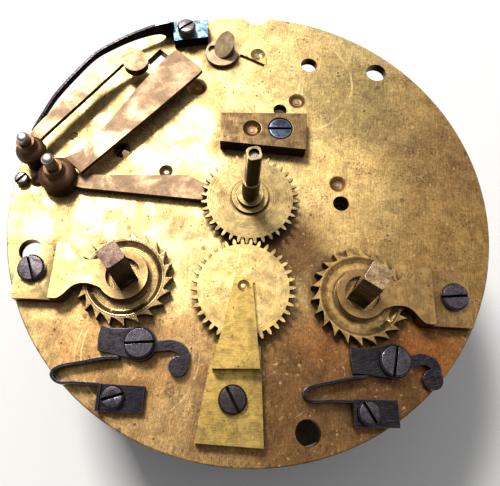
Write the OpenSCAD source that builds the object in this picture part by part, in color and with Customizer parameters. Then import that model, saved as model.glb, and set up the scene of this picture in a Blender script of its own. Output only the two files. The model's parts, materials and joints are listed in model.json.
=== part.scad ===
// Round two-train mantel clock movement, lying on its back with the dial side up.
// Millimetres. The origin is on the centre arbor's axis, at the surface that the movement lies on.
// +Z points out of the dial side and +Y points to twelve o'clock.

/* [Plates and pillars] */
// Diameter of the front plate
front_plate_d = 86; // [84:0.5:92]
// Diameter of the back plate
back_plate_d = 84; // [82:0.5:90]
// Thickness of both plates
plate_t = 2; // [1.8:0.1:2.6]
// Room between the back plate and the barrels
under_barrel_room = 2; // [2:0.1:3]
// Room between the barrels and the front plate, where the intermediate and second wheels turn
over_barrel_room = 4; // [4:0.1:6]
// Room behind the back plate, for the crutch, the count wheel and the back cock
rear_room = 10; // [10:0.5:13]
// Radius of a pillar
pillar_r = 2.2; // [1.6:0.1:2.3]
// Radius of the dial feet's holes
dial_foot_hole_r = 2; // [1.5:0.1:2.3]
// Distance of the dial feet's holes from the centre
dial_foot_ring_r = 39; // [38.4:0.1:39.4]
// Width of the locating notch at twelve o'clock
notch_w = 5; // [3:0.5:7]
// Depth of the locating notch at twelve o'clock
notch_depth = 2; // [1:0.1:2.5]
// Length of the window that the warning piece reaches through
window_length = 6.4; // [6:0.1:7]
// Width of the window that the warning piece reaches through
window_width = 4.2; // [3.6:0.1:4.6]

/* [Arbor places] */
// Left winding arbor, which carries the strike barrel
strike_barrel_at = [-20.3, -15.2]; // [-21:0.1:-15]
// Right winding arbor, which carries the going barrel
going_barrel_at = [18.95, -16.25]; // [-17:0.1:19.5]
// Intermediate wheel of the going train
intermediate_at = [16.15, 4.87]; // [4.5:0.01:16.5]
// Third wheel, over the centre and under its cock
third_at = [-0.14, 13.98]; // [-0.5:0.01:14.2]
// Escape wheel
escape_at = [8.52, 22.54]; // [8.2:0.01:22.8]
// Anchor
anchor_at = [0.46, 33.37]; // [0.2:0.01:33.6]
// Second wheel of the strike train
second_at = [-15.67, 5.73]; // [-16:0.01:6]
// Pin wheel of the strike train
pin_wheel_at = [-29.6, 10.2]; // [-29.9:0.1:10.5]
// Locking wheel of the strike train
locking_at = [-23.6, 17.8]; // [-23.9:0.1:18]
// Warning wheel of the strike train
warning_at = [-19, 25.7]; // [-19.2:0.1:26]
// Fly
fly_at = [-11.4, 24.64]; // [-11.7:0.01:24.9]
// Minute wheel of the motion work
minute_at = [-0.45, -16.3]; // [-16.5:0.01:0]
// Hammer
hammer_at = [-38.7, 2.57]; // [-38.8:0.01:2.8]

/* [Tooth counts] */
// Teeth of each barrel
barrel_teeth = 72; // [66:1:78]
// Leaves of the pinion that each barrel drives
barrel_pinion_leaves = 14; // [12:1:14]
// Teeth of the intermediate wheel
intermediate_teeth = 80; // [72:1:84]
// Leaves of the centre pinion
centre_leaves = 10; // [9:1:12]
// Teeth of the centre wheel
centre_teeth = 72; // [64:1:76]
// Leaves of the third pinion
third_leaves = 8; // [8:1:9]
// Teeth of the third wheel
third_teeth = 70; // [64:1:74]
// Leaves of the escape pinion
escape_leaves = 7; // [7:1:8]
// Teeth of the escape wheel
escape_teeth = 40; // [30:2:44]
// Teeth of the strike train's second wheel
second_teeth = 72; // [64:1:76]
// Leaves of the pin wheel's pinion
pin_leaves = 8; // [8:1:9]
// Pins of the pin wheel
hammer_pins = 10; // [8:1:12]
// Teeth of the pin wheel
pin_teeth = 70; // [64:1:74]
// Leaves of the locking wheel's pinion
locking_leaves = 7; // [7:1:8]
// Teeth of the locking wheel
locking_teeth = 48; // [42:1:52]
// Leaves of the warning wheel's pinion
warning_leaves = 8; // [7:1:8]
// Teeth of the warning wheel
warning_teeth = 48; // [42:1:52]
// Leaves of the fly's pinion
fly_leaves = 8; // [7:1:8]
// Teeth of the cannon wheel and of the minute wheel
motion_teeth = 36; // [32:1:40]
// Teeth of the left ratchet
left_ratchet_teeth = 21; // [18:1:24]
// Teeth of the right ratchet
right_ratchet_teeth = 22; // [18:1:24]

/* [Barrels and winding] */
// Outer radius of a barrel's drum
drum_r = 17; // [15:0.1:17.2]
// Thickness of a barrel's wall, floor and cap
drum_wall = 1.2; // [0.8:0.1:1.5]
// Thickness of a barrel's tooth ring
barrel_tooth_t = 2; // [1.5:0.1:2.2]
// Outer height of a barrel with its cap
barrel_h = 21; // [18:0.5:21]
// Radius of the barrel arbor inside the drum
barrel_arbor_r = 3; // [2.7:0.1:3.6]
// Radius of the barrel arbor's journals in the plates
journal_r = 2.4; // [2:0.1:2.6]
// Width across the flats of a winding square
winding_square = 3.3; // [3:0.05:3.35]
// Height of the winding squares' tips over the front plate
winding_square_h = 14.2; // [12:0.1:18]
// Outer radius of the ratchets
ratchet_r = 8.15; // [7.6:0.05:8.2]
// Thickness of the ratchets
ratchet_t = 2; // [1.4:0.1:2.1]
// Depth of the dished channel in a ratchet
ratchet_dish = 0.7; // [0.4:0.1:0.9]
// Thickness of the mainspring ribbons
mainspring_t = 0.45; // [0.35:0.05:0.5]
// Turns of a mainspring
mainspring_turns = 8; // [6:1:9]

/* [Barrel bridges] */
// Thickness of a bridge's foot
bridge_foot_t = 2; // [1.6:0.1:2.2]
// Height of a bridge's top over the plate
bridge_top = 3.6; // [3.4:0.1:4.2]
// Thickness of a bridge's arm over the ratchet
bridge_arm_t = 1.15; // [0.8:0.05:1.2]
// Radius of a bridge's ring round the winding arbor
bridge_ring_r = 4.1; // [3.6:0.1:4.6]
// Radius of the hole in a bridge's ring
bridge_hole_r = 2.85; // [2.7:0.05:3]
// Half width of a bridge's foot
bridge_half_w = 4.65; // [4:0.05:5]
// Half width of a bridge's neck
bridge_neck_w = 1.95; // [1.6:0.05:2.4]
// Distance from the winding arbor to a bridge's step
bridge_step_x = 11.6; // [10.6:0.1:12.4]
// Distance from the winding arbor to a bridge's outer edge
bridge_end_x = 18.2; // [17:0.1:19]
// Distance from the winding arbor to a bridge's screw
bridge_screw_x = 15.4; // [15:0.1:15.6]
// Radius of the bridge screws' heads
bridge_screw_r = 2.25; // [1.8:0.05:2.4]

/* [Clicks] */
// Left click's pivot
left_click_at = [-16.5, -25.8]; // [-26:0.1:-16]
// Right click's pivot
right_click_at = [23.9, -26.5]; // [-27:0.1:24]
// Thickness of the clicks
click_t = 1.6; // [1.2:0.1:1.8]
// Radius of a click's boss
click_boss_r = 2.7; // [2.6:0.1:2.8]
// Radius of the click screws' heads
click_screw_r = 2.45; // [2:0.05:2.6]
// Radius of the ball on a click's tail
click_ball_r = 1.55; // [1.2:0.05:1.6]
// Thickness of the click springs' ribbon
click_ribbon_t = 0.45; // [0.3:0.05:0.5]
// Height of the click springs' ribbon
click_ribbon_h = 2; // [1.4:0.1:2.4]
// Radius of the click spring screws' heads
spring_screw_r = 1.8; // [1.4:0.05:1.9]

/* [Motion work] */
// Height of the cannon's squared tip over the front plate
cannon_h = 19.3; // [16:0.1:22]
// Width across the flats of the cannon's square
cannon_square = 2.25; // [2:0.05:2.6]
// Angle of the cannon's square
cannon_square_turn = 16; // [0:1:89]
// Radius of the cannon's pipe
cannon_pipe_r = 1.5; // [1.3:0.05:1.6]
// Radius of the bore through the cannon
cannon_bore_r = 0.8; // [0.6:0.05:0.9]
// Height at which the cannon's pipe turns into the square
cannon_square_z = 10; // [8:0.5:12]
// Height of the underside of both motion wheels over the plate
motion_z = 2.1; // [2:0.05:2.3]
// Thickness of both motion wheels
motion_t = 0.8; // [0.6:0.05:0.9]
// Height of the minute cock's top over the plate
minute_cock_top = 4.5; // [4.3:0.1:5]
// Thickness of the minute cock's foot
minute_cock_foot_t = 2; // [1.6:0.1:2.4]
// Thickness of the minute cock's arm over its wheel
minute_cock_arm_t = 0.8; // [0.6:0.05:0.9]
// Place of the minute cock's screw
minute_screw_at = [-1.33, -33.5]; // [-34:0.01:-1]
// Radius of the minute cock screw's head
minute_screw_r = 2.2; // [1.8:0.1:2.6]

/* [Third wheel cock] */
// Thickness of the third wheel's cock
third_cock_t = 3.1; // [2.6:0.1:3.6]
// Place of the third wheel cock's screw
third_screw_at = [5.1, 14.26]; // [4.8:0.01:14.6]
// Radius of the third wheel cock screw's head
third_screw_r = 2.3; // [1.8:0.1:2.6]

/* [Strike levers] */
// Post of the detent lever
detent_post_at = [-39.5, 6.45]; // [-39.6:0.01:6.6]
// Post of the lifting lever
lifting_post_at = [-34.5, 2.6]; // [-34.6:0.01:2.8]
// Radius of the steel posts that the levers turn on
post_r = 1.05; // [0.8:0.05:1.1]
// Height of the posts over the plate
post_h = 9.4; // [8.5:0.1:11]
// Thickness of the levers' blades
lever_t = 1; // [0.8:0.1:1.2]
// Height of the detent arm's underside over the plate
detent_arm_z = 3.2; // [3:0.1:3.4]
// Height of the lifting blade's underside over the plate
blade_z = 2.6; // [2.5:0.1:2.7]
// Height of the lifting arm's underside over the plate
lifting_arm_z = 0.75; // [0.6:0.05:0.8]
// Radius of the disc at the end of the detent arm
detent_disc_r = 2.4; // [2:0.05:2.45]
// Thickness of the disc at the end of the detent arm
detent_disc_t = 1.7; // [1.4:0.1:1.8]
// Thickness of the lever spring's ribbon
lever_ribbon_t = 0.5; // [0.4:0.05:0.6]
// Height of the lever spring's ribbon over the plate, at its foot
lever_ribbon_h = 4.4; // [4:0.1:4.8]
// Place of the lever spring's screw
lever_spring_screw_at = [-14.2, 36.2]; // [-15:0.1:37]
// Radius of the lever spring screw's head
lever_spring_screw_r = 1.8; // [1.4:0.05:1.9]

/* [Small parts of the front plate] */
// Centre of the anchor's eccentric bush
bush_at = [-0.7, 31.75]; // [-0.8:0.01:31.9]
// Radius of the anchor's eccentric bush
bush_r = 3; // [2.9:0.05:3.2]
// Centre of the stop stud
stop_at = [-6.9, 32.7]; // [-7:0.1:33]
// Radius of the stop stud's collar
stop_collar_r = 3.3; // [2.8:0.1:3.3]
// Height of the stop stud's collar
stop_collar_h = 1.1; // [0.8:0.1:1.4]
// Radius of the stop stud's slant-cut stub
stop_stub_r = 2; // [1.6:0.1:2.2]
// Height of the stop stud's tip over the plate
stop_h = 5; // [4:0.1:6]
// Place of the small screw at the plate's rim
rim_screw_at = [-41.3, 2.2]; // [-41.4:0.1:2.6]
// Radius of the small rim screw's head
rim_screw_r = 1.25; // [1:0.05:1.35]

/* [Train] */
// Radius of the slim train arbors
arbor_r = 0.6; // [0.5:0.05:0.6]
// Radius of the train arbors' pivots
pivot_r = 0.38; // [0.3:0.02:0.42]
// Radius of the centre arbor
centre_arbor_r = 0.75; // [0.7:0.01:0.75]
// Thickness of the train's wheels
wheel_t = 1; // [0.7:0.05:1.1]
// Radius of the escape wheel
escape_r = 9.55; // [8.8:0.05:9.6]
// Free space between the escape wheel's teeth and the pallets with the anchor at rest
pallet_room = 0.7; // [0.65:0.05:0.9]
// Reach of each of the fly's two vanes
fly_reach = 6.4; // [5:0.1:6.4]
// Height of the fly's vanes
fly_h = 5; // [3:0.5:5]
// Radius of the count wheel
count_r = 13; // [11:0.1:13]
// Length of the crutch under the anchor's arbor
crutch_length = 46; // [36:1:50]
// Length of the hammer's stem
hammer_stem = 36; // [30:1:38]
// Radius of the hammer's head
hammer_head_r = 3; // [2:0.1:3.2]
// Span of the back cock between its ends
back_cock_span = 31; // [28:0.5:31]
// Width of the bell stand's foot
stand_foot_w = 15; // [12:0.5:18]
// Radius of the threaded hole in the bell stand's foot
stand_hole_r = 1.5; // [1:0.1:2]

/* [Hidden] */
$fn = 64;

// Clearances
run_gap = 0.05;
seat_gap = 0.02;
face_gap = 0.1;
safe_gap = 0.3;

// Heights of the plates' faces, which stand as far apart as the barrels need
plate_gap = under_barrel_room + barrel_h + over_barrel_room;
back_rear = rear_room;
back_front = back_rear + plate_t;
front_rear = back_front + plate_gap;
face = front_rear + plate_t;
plate_r = front_plate_d / 2;

// Levels of the wheels between the plates, from the back plate's inner face
centre_wheel_z = back_front + 0.6;
barrel_z = back_front + under_barrel_room;
third_wheel_z = back_front + 8;
locking_wheel_z = back_front + 10.5;
pin_wheel_z = back_front + 14.5;
escape_wheel_z = back_front + 16.5;
warning_wheel_z = back_front + 18.5;
top_wheel_z = front_rear - 2.6;
count_wheel_z = back_rear - 2.8;
crutch_z = back_rear - 6;
hammer_rear_z = back_rear - 5;

// Colours
brass = [0.78, 0.62, 0.33];
pale_brass = [0.86, 0.72, 0.5];
steel = [0.55, 0.55, 0.57];
dark_steel = [0.3, 0.29, 0.32];
blue_steel = [0.12, 0.2, 0.4];

pillar_places = [[0.5, -38.3], [37.4, 8], [17, 34.6], [-33.2, 23.2], [-38.4, -4.6]];
pillar_pin_r = 1.4;
pillar_socket = 1.3;
pillar_foot = 1.9;
taper_pin_r = 0.45;

dial_foot_turns = [51, -74.4, -163.9];
dial_foot_relief = 0.6;
bridge_screw_shank = 1.3;
click_shank = 1.2;
small_shank = 0.9;
click_z = face + face_gap;
click_head_h = 1.2;
ratchet_z = face + face_gap;
slant = atan2(-0.6, 0.8);
window_corner = [-19.7, 33.5];

function polar(r, a) = [r * cos(a), r * sin(a)];
function bearing(from, to) = atan2(to[1] - from[1], to[0] - from[0]);
function driven_r(a, b, teeth, leaves) = norm(b - a) * leaves / (teeth + leaves);
function driving_r(a, b, teeth, leaves) = norm(b - a) * teeth / (teeth + leaves);

// A point on a smooth curve through p1 and p2, at t from 0 to 1
function curve_point(p0, p1, p2, p3, t) = 0.5 * ((2 * p1) + (p2 - p0) * t
    + (2 * p0 - 5 * p1 + 4 * p2 - p3) * t * t + (3 * p1 - p0 - 3 * p2 + p3) * t * t * t);

// A smooth curve through all the given points
function smooth(points, steps = 5) = let (last = len(points) - 1) concat(
    [for (i = [0 : last - 1], s = [0 : steps - 1])
        curve_point(points[max(i - 1, 0)], points[i], points[i + 1], points[min(i + 2, last)],
            s / steps)], [points[last]]);

// The sideways direction of a path at point i
function side_of(path, i) = let (a = path[max(i - 1, 0)], b = path[min(i + 1, len(path) - 1)],
    d = (b - a) / norm(b - a)) [-d[1], d[0]];

// Outline of a ribbon of thickness t along a path
function ribbon(path, t) = concat(
    [for (i = [0 : len(path) - 1]) path[i] + side_of(path, i) * t / 2],
    [for (i = [len(path) - 1 : -1 : 0]) path[i] - side_of(path, i) * t / 2]);

// One straight-sided tooth as points, from root to tip and back
function tooth(a, pitch_a, pitch_r, m, add, ded, widths) = [
    polar(pitch_r - ded * m, a - widths[2] * pitch_a / 2),
    polar(pitch_r, a - widths[0] * pitch_a / 2),
    polar(pitch_r + add * m, a - widths[1] * pitch_a / 2),
    polar(pitch_r + add * m, a + widths[1] * pitch_a / 2),
    polar(pitch_r, a + widths[0] * pitch_a / 2),
    polar(pitch_r - ded * m, a + widths[2] * pitch_a / 2)];

function teeth_outline(count, pitch_r, turn, add, ded, widths) = [for (i = [0 : count - 1],
    p = tooth(turn + i * 360 / count, 360 / count, pitch_r, 2 * pitch_r / count, add, ded,
        widths)) p];

// Outline of a saw-toothed disc, whose teeth rise with the angle and drop along a radius
function saw_outline(count, tip_r, root_r, turn) = [for (i = [0 : count - 1],
    p = [polar(root_r, turn + (i + 0.06) * 360 / count), polar((root_r + tip_r) / 2,
        turn + (i + 0.62) * 360 / count), polar(tip_r, turn + (i + 1) * 360 / count)]) p];

// Outline of a ratchet, whose teeth rise in a hollow curve to a tip that hooks a little forward
function ratchet_outline(count, tip_r, root_r, turn) = [for (i = [0 : count - 1],
    s = [[-0.03, 0], [0.2, 0.06], [0.45, 0.22], [0.78, 0.58], [1, 1]])
    polar(root_r + s[1] * (tip_r - root_r), turn + (i + s[0]) * 360 / count)];

// Outline of a flat spiral ribbon
function spiral(r0, r1, turns, t, steps = 20) = let (n = turns * steps) concat(
    [for (i = [0 : n]) polar(r0 + (r1 - r0) * i / n, i * 360 / steps)],
    [for (i = [n : -1 : 0]) polar(r0 + (r1 - r0) * i / n - t, i * 360 / steps)]);

module at(p, z = 0) {
    translate([p[0], p[1], z]) children();
}

module rod(p, r, z0, z1) {
    at(p, z0) cylinder(r = r, h = z1 - z0);
}

module plate_disc(r, z, edge = 0.2) {
    translate([0, 0, z]) rotate_extrude($fn = 128)
        polygon([[0, 0], [r - edge, 0], [r, edge], [r, plate_t - edge], [r - edge, plate_t],
            [0, plate_t]]);
}

// A funnel-shaped oil sink, cut from the face at z downwards or upwards
module oil_sink(p, r, depth, z, up = false) {
    at(p, z) mirror([0, 0, up ? 1 : 0]) translate([0, 0, -depth])
        cylinder(r1 = r * 0.45, r2 = r, h = depth + 0.001);
}

module pivot_hole(p, z0, z1, r = pivot_r) {
    rod(p, r + run_gap, z0 - 1, z1 + 1);
}

// A wheel with straight-sided teeth, a rim, spokes and a bore
module train_wheel(p, teeth, pitch_r, turn, z, t, bore_r, spokes = 4, hub_r = 2) {
    m = 2 * pitch_r / teeth;
    rim_r = pitch_r - 1.3 * m - max(0.9, pitch_r * 0.1);
    at(p, z) {
        difference() {
            linear_extrude(t) polygon(teeth_outline(teeth, pitch_r, turn, 0.9, 1.3,
                [0.42, 0.12, 0.42]));
            translate([0, 0, -1]) cylinder(r = rim_r, h = t + 2);
        }
        difference() {
            union() {
                cylinder(r = hub_r, h = t);
                for (i = [0 : spokes - 1]) rotate(i * 360 / spokes + 20)
                    translate([hub_r * 0.6, -0.55, 0]) cube([rim_r + 0.3 - hub_r * 0.6, 1.1, t]);
            }
            translate([0, 0, -1]) cylinder(r = bore_r, h = t + 2);
        }
    }
}

module pinion(p, leaves, pitch_r, turn, z0, z1) {
    at(p, z0) linear_extrude(z1 - z0) polygon(teeth_outline(leaves, pitch_r,
        turn + 180 / leaves, 0.7, 1.3, [0.34, 0.14, 0.26]));
}

// A slim arbor between the plates with its two pivots
module arbor(p, r = arbor_r, rear = back_front, front = front_rear) {
    rod(p, r, rear + 0.2, front - 0.2);
    rod(p, pivot_r, rear - plate_t + 0.5, front + plate_t - 0.6);
}

// A slotted cheese-head screw with a softened rim, whose head sits at z
module screw(p, z, head_r, head_h, shank_r, shank_l, slot_turn) {
    soft = min(0.3, head_h * 0.3);
    at(p, z) difference() {
        rotate_extrude() polygon([[0, -shank_l], [shank_r, -shank_l], [shank_r, 0], [head_r, 0],
            [head_r, head_h - soft], [head_r - soft, head_h - 0.05], [0, head_h]]);
        rotate(slot_turn) translate([-head_r - 1, -0.23, head_h * 0.4])
            cube([2 * head_r + 2, 0.46, head_h]);
    }
}

module screw_hole(p, shank_r, z0, z1) {
    rod(p, shank_r + seat_gap, z0, z1);
}

// The disc that closes a plate at twelve o'clock, cut away with sloping shoulders
module notch_cut() {
    translate([-0.25, plate_r - notch_depth, front_rear - 1]) linear_extrude(plate_t + 2)
        polygon(concat([[notch_w / 2 + 0.6, notch_depth + 1], [notch_w / 2, notch_depth * 0.7]],
            [for (a = [0 : -30 : -180]) [notch_w * 0.32 * cos(a), 0.6 + 0.6 * sin(a)]],
            [[-notch_w / 2, notch_depth * 0.7], [-notch_w / 2 - 0.6, notch_depth + 1]]));
}

// Bridges: places of their screws, and the direction from arbor to rim
left_bridge_screw = strike_barrel_at + [-bridge_screw_x, 0.5];
right_bridge_screw = going_barrel_at + [bridge_screw_x, 0.4];

click_spring_screw_shift = [-3.2, -8.2];
left_spring_screw = left_click_at + click_spring_screw_shift;
right_spring_screw = right_click_at + click_spring_screw_shift + [-1.1, 0.4];

front_pivots = [intermediate_at, escape_at, second_at, pin_wheel_at, locking_at, warning_at,
    fly_at, minute_at];
front_sinks = [[intermediate_at, 1.6], [escape_at, 1.65], [second_at, 1.3], [hammer_at, 1.4],
    [pin_wheel_at, 1], [locking_at, 1], [warning_at, 0.9], [fly_at, 2]];
plain_holes = [[[10.93, 31.38], 1.65], [[16.6, 0.99], 1.45], [[5.2, 20.25], 1.3],
    [[-24.34, 9.64], 1.6]];
plug_at = [-33.84, 12.06];
plug_r = 0.9;

module front_plate() {
    color(brass) difference() {
        plate_disc(plate_r, front_rear);
        notch_cut();
        for (p = front_pivots) pivot_hole(p, front_rear, face);
        pivot_hole(hammer_at, front_rear, face);
        for (s = front_sinks) oil_sink(s[0], s[1], 0.7, face);
        rod(third_at, 2.4, front_rear - 1, face + 1);
        rod([0, 0], centre_arbor_r + run_gap, front_rear - 1, face + 1);
        rod(strike_barrel_at, journal_r + run_gap, front_rear - 1, face + 1);
        rod(going_barrel_at, journal_r + run_gap, front_rear - 1, face + 1);
        rod(bush_at, bush_r + seat_gap, front_rear - 1, face + 1);
        oil_sink(anchor_at, 1.5, 0.7, face);
        for (a = dial_foot_turns)
            rod(polar(dial_foot_ring_r, a), dial_foot_hole_r, front_rear - 1, face + 1);
        for (h = plain_holes) rod(h[0], h[1], front_rear - 1, face + 1);
        rod(plug_at, plug_r, face - 0.4, face + 1);
        at(window_corner, front_rear - 1) rotate(slant) translate([0, -window_width, 0])
            cube([window_length, window_width, plate_t + 2]);
        for (p = pillar_places) rod(p, pillar_pin_r + seat_gap, front_rear - 1,
            front_rear + pillar_socket);
        screw_hole(left_bridge_screw, bridge_screw_shank, front_rear - 1, face + 1);
        screw_hole(right_bridge_screw, bridge_screw_shank, front_rear - 1, face + 1);
        for (p = [left_click_at, right_click_at, minute_screw_at, third_screw_at])
            screw_hole(p, click_shank, front_rear - 1, face + 1);
        for (p = [left_spring_screw, right_spring_screw, lever_spring_screw_at, rim_screw_at])
            screw_hole(p, small_shank, front_rear - 1, face + 1);
        for (p = [detent_post_at, lifting_post_at])
            screw_hole(p, post_r * 0.8, front_rear - 1, face + 1);
        rod(stop_at, stop_stub_r * 0.7 + seat_gap, front_rear - 1, face + 1);
        for (p = minute_pin_places) rod(p, locating_pin_r + seat_gap, face - 0.6, face + 1);
    }
}

module back_plate() {
    color(brass) difference() {
        plate_disc(back_plate_d / 2, back_rear);
        for (p = [intermediate_at, third_at, escape_at, pin_wheel_at, locking_at, warning_at,
            fly_at]) {
            pivot_hole(p, back_rear, back_front);
            oil_sink(p, 1.3, 0.6, back_rear, true);
        }
        rod([0, 0], pivot_r * 2 + run_gap, back_rear - 1, back_front + 1);
        rod(second_at, square_arbor_r + run_gap, back_rear - 1, back_front + 1);
        rod(hammer_at, hammer_journal_r + run_gap, back_rear - 1, back_front + 1);
        rod(anchor_at, anchor_clear_r, back_rear - 1, back_front + 1);
        rod(strike_barrel_at, journal_r + run_gap, back_rear - 1, back_front + 1);
        rod(going_barrel_at, journal_r + run_gap, back_rear - 1, back_front + 1);
        for (p = pillar_places) rod(p, pillar_pin_r + seat_gap, back_rear - 1, back_front + 1);
        for (p = back_cock_screw_places) screw_hole(p, small_shank, back_rear - 1,
            back_front + 1);
        screw_hole(stand_foot_at + [0, 2.2], small_shank, back_rear - 1, back_front + 1);
        screw_hole(stand_foot_at - [0, 2.2], small_shank, back_rear - 1, back_front + 1);
        screw_hole(hammer_spring_at, small_shank, back_rear - 1, back_front + 1);
    }
}

module pillars() {
    color(brass) for (p = pillar_places) difference() {
        union() {
            at(p, back_front) rotate_extrude() polygon([[0, 0], [pillar_r, 0], [pillar_r, 2],
                [pillar_r - 0.5, 2.6], [pillar_r - 0.5, plate_gap - 2.6],
                [pillar_r, plate_gap - 2], [pillar_r, plate_gap], [0, plate_gap]]);
            rod(p, pillar_pin_r, back_rear - pillar_foot, back_front + 0.5);
            rod(p, pillar_pin_r, front_rear - 0.5, front_rear + pillar_socket);
        }
        at(p, back_rear - taper_pin_r - 0.1) rotate([90, 0, pillar_turn(p)])
            cylinder(r = taper_pin_r + seat_gap, h = 6, center = true);
    }
}

// The pins lie along the rim, but the one by the back cock lies beside its foot
function pillar_turn(p) = p[1] > 30 ? 0 : atan2(p[1], p[0]);

module pillar_pins() {
    color(steel) for (p = pillar_places) at(p, back_rear - taper_pin_r - 0.1)
        rotate([90, 0, pillar_turn(p)]) cylinder(r = taper_pin_r, h = 7, center = true);
}

// Cock of the third wheel, a thick block over the centre
third_cock_outline = [[-6.15, 17.1], [10.05, 17.8], [9.85, 10.1], [-5.95, 10.95]];
third_cock_under = 2.4;

module third_wheel_cock() {
    color(brass) difference() {
        at([0, 0], face) linear_extrude(third_cock_t) polygon(third_cock_outline);
        pivot_hole(third_at, face, face + third_cock_t);
        oil_sink(third_at, 1.75, 0.9, face + third_cock_t);
        rod(third_at, third_cock_under, face - 1, face + 0.6);
        rod(third_screw_at, third_screw_r + run_gap, face + third_cock_t - 1, face + 9);
        screw_hole(third_screw_at, click_shank, face - 1, face + 9);
    }
}

module third_cock_screw() {
    color(blue_steel) screw(third_screw_at, face + third_cock_t - 1, third_screw_r, 1.05,
        click_shank, third_cock_t + 0.6, 3);
}

// Cock of the minute wheel: a wide foot and a narrow arm over the wheel
minute_foot_outline = [[-4.75, -25.4], [2.7, -25.2], [3.65, -40.05], [-6.75, -39.8]];
minute_root_outline = [[-4.0, -25.4], [2.15, -25.2], [2.62, -29.0], [-4.7, -29.35]];
minute_arm_outline = [[-1.9, -14.9], [0.9, -14.75], [2.62, -29.0], [-4.7, -29.35]];
minute_pin_places = [[-4.3, -37.6], [1.6, -37.8]];
locating_pin_r = 0.6;

module minute_wheel_cock() {
    color(brass) difference() {
        union() {
            at([0, 0], face) linear_extrude(minute_cock_foot_t) polygon(minute_foot_outline);
            at([0, 0], face + minute_cock_foot_t) linear_extrude(minute_cock_top
                - minute_cock_foot_t) polygon(minute_root_outline);
            at([0, 0], face + minute_cock_top - minute_cock_arm_t)
                linear_extrude(minute_cock_arm_t) polygon(minute_arm_outline);
            for (p = minute_pin_places) rod(p, locating_pin_r, face - 0.5, face + 0.5);
        }
        pivot_hole(minute_at, face + 2, face + minute_cock_top);
        oil_sink(minute_at, 1, 0.4, face + minute_cock_top);
        screw_hole(minute_screw_at, click_shank, face - 1, face + 9);
    }
}

module minute_cock_screw() {
    color(dark_steel) screw(minute_screw_at, face + minute_cock_foot_t, minute_screw_r, 1.1,
        click_shank, minute_cock_foot_t + 1.6, -60);
}

motion_r = norm(minute_at) / 2;
motion_turn = bearing([0, 0], minute_at);
lifting_pin_ring = 4.1;
cannon_foot_r = 2.3;
corner_relief = 0.2;

module motion_wheel_disc(p, turn, bore_r) {
    at(p, face + motion_z) difference() {
        linear_extrude(motion_t) polygon(teeth_outline(motion_teeth, motion_r, turn, 1, 1.25,
            [0.4, 0.14, 0.44]));
        translate([0, 0, -1]) cylinder(r = bore_r, h = motion_t + 2);
    }
}

module cannon_wheel() {
    hub_z = face + motion_z + motion_t;
    color(brass) {
        motion_wheel_disc([0, 0], motion_turn, cannon_bore_r);
        for (a = [45, 225]) rod(polar(lifting_pin_ring, a), 0.4, face + lifting_arm_z + 0.2,
            face + motion_z + 0.1);
    }
    color(dark_steel) difference() {
        union() {
            rod([0, 0], 3.2, hub_z - 0.05, hub_z + 0.6);
            rod([0, 0], 2.3, hub_z, hub_z + 1.6);
            rod([0, 0], cannon_foot_r, face + face_gap, hub_z - 0.05);
            rod([0, 0], cannon_pipe_r, hub_z, face + cannon_square_z + 0.1);
            intersection() {
                at([0, 0], face + cannon_square_z) rotate(cannon_square_turn)
                    translate([-cannon_square / 2, -cannon_square / 2, 0])
                    cube([cannon_square, cannon_square, cannon_h - cannon_square_z]);
                at([0, 0], face + cannon_square_z - 1) cylinder(r1 = cannon_h, r2 =
                    cannon_square * 0.62, h = cannon_h - cannon_square_z + 1);
                rod([0, 0], cannon_pipe_r - corner_relief, face + face_gap, face + cannon_h);
            }
        }
        rod([0, 0], cannon_bore_r, face - 1, face + cannon_h + 1);
    }
}

module minute_wheel() {
    color(brass) motion_wheel_disc(minute_at, motion_turn + 180 + 180 / motion_teeth,
        arbor_r);
    color(steel) {
        rod(minute_at, arbor_r + 0.05, face + 0.2, face + minute_cock_top - minute_cock_arm_t
            - 0.15);
        rod(minute_at, pivot_r, face - plate_t + 0.6, face + minute_cock_top - 0.3);
        pinion(minute_at, 8, 1.25, 0, face + motion_z + motion_t - 0.02,
            face + minute_cock_top - minute_cock_arm_t - 0.25);
    }
}

// Half outline of a bridge from its step to its ring, as distance and half width
function bridge_flank() = smooth([[bridge_step_x, bridge_half_w], [10.1, bridge_half_w - 0.05],
    [9.1, 3.8], [8.2, 2.75], [7.1, 2.1], [5.6, bridge_neck_w], [4.3, 2.25],
    [bridge_ring_r * 0.7, bridge_ring_r * 0.68]], 4);

module bridge_outline(side) {
    flank = bridge_flank();
    polygon(concat([for (p = flank) [side * p[0], p[1]]],
        [for (i = [len(flank) - 1 : -1 : 0]) [side * flank[i][0], -flank[i][1]]]));
}

// A barrel bridge: foot at the rim, step, neck over the ratchet and ring round the arbor
module barrel_bridge(p, side, screw_place) {
    arm_z = bridge_top - bridge_arm_t;
    color(brass) difference() {
        intersection() {
            union() {
                at(p + [0, 0.2], face) mirror([side > 0 ? 0 : 1, 0, 0]) {
                    translate([bridge_step_x, -bridge_half_w, 0])
                        cube([bridge_end_x - bridge_step_x, 2 * bridge_half_w, bridge_foot_t]);
                    intersection() {
                        linear_extrude(bridge_top) bridge_outline(1);
                        translate([bridge_step_x, -bridge_half_w, 0]) mirror([1, 0, 0])
                            cube([bridge_step_x - ratchet_r - 0.9, 2 * bridge_half_w, bridge_top]);
                    }
                }
                at(p + [0, 0.2], face + arm_z) linear_extrude(bridge_arm_t)
                    bridge_outline(side);
                rod(p, bridge_ring_r, face + arm_z, face + bridge_top);
            }
            rod([0, 0], plate_r, face - 1, face + 9);
        }
        rod(p, bridge_hole_r, face, face + 9);
        screw_hole(screw_place, bridge_screw_shank, face - 1, face + 9);
        for (a = dial_foot_turns) rod(polar(dial_foot_ring_r, a), dial_foot_hole_r
            + dial_foot_relief, face - 1, face + 9);
    }
}

module left_barrel_bridge() {
    barrel_bridge(strike_barrel_at, -1, left_bridge_screw);
}

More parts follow.
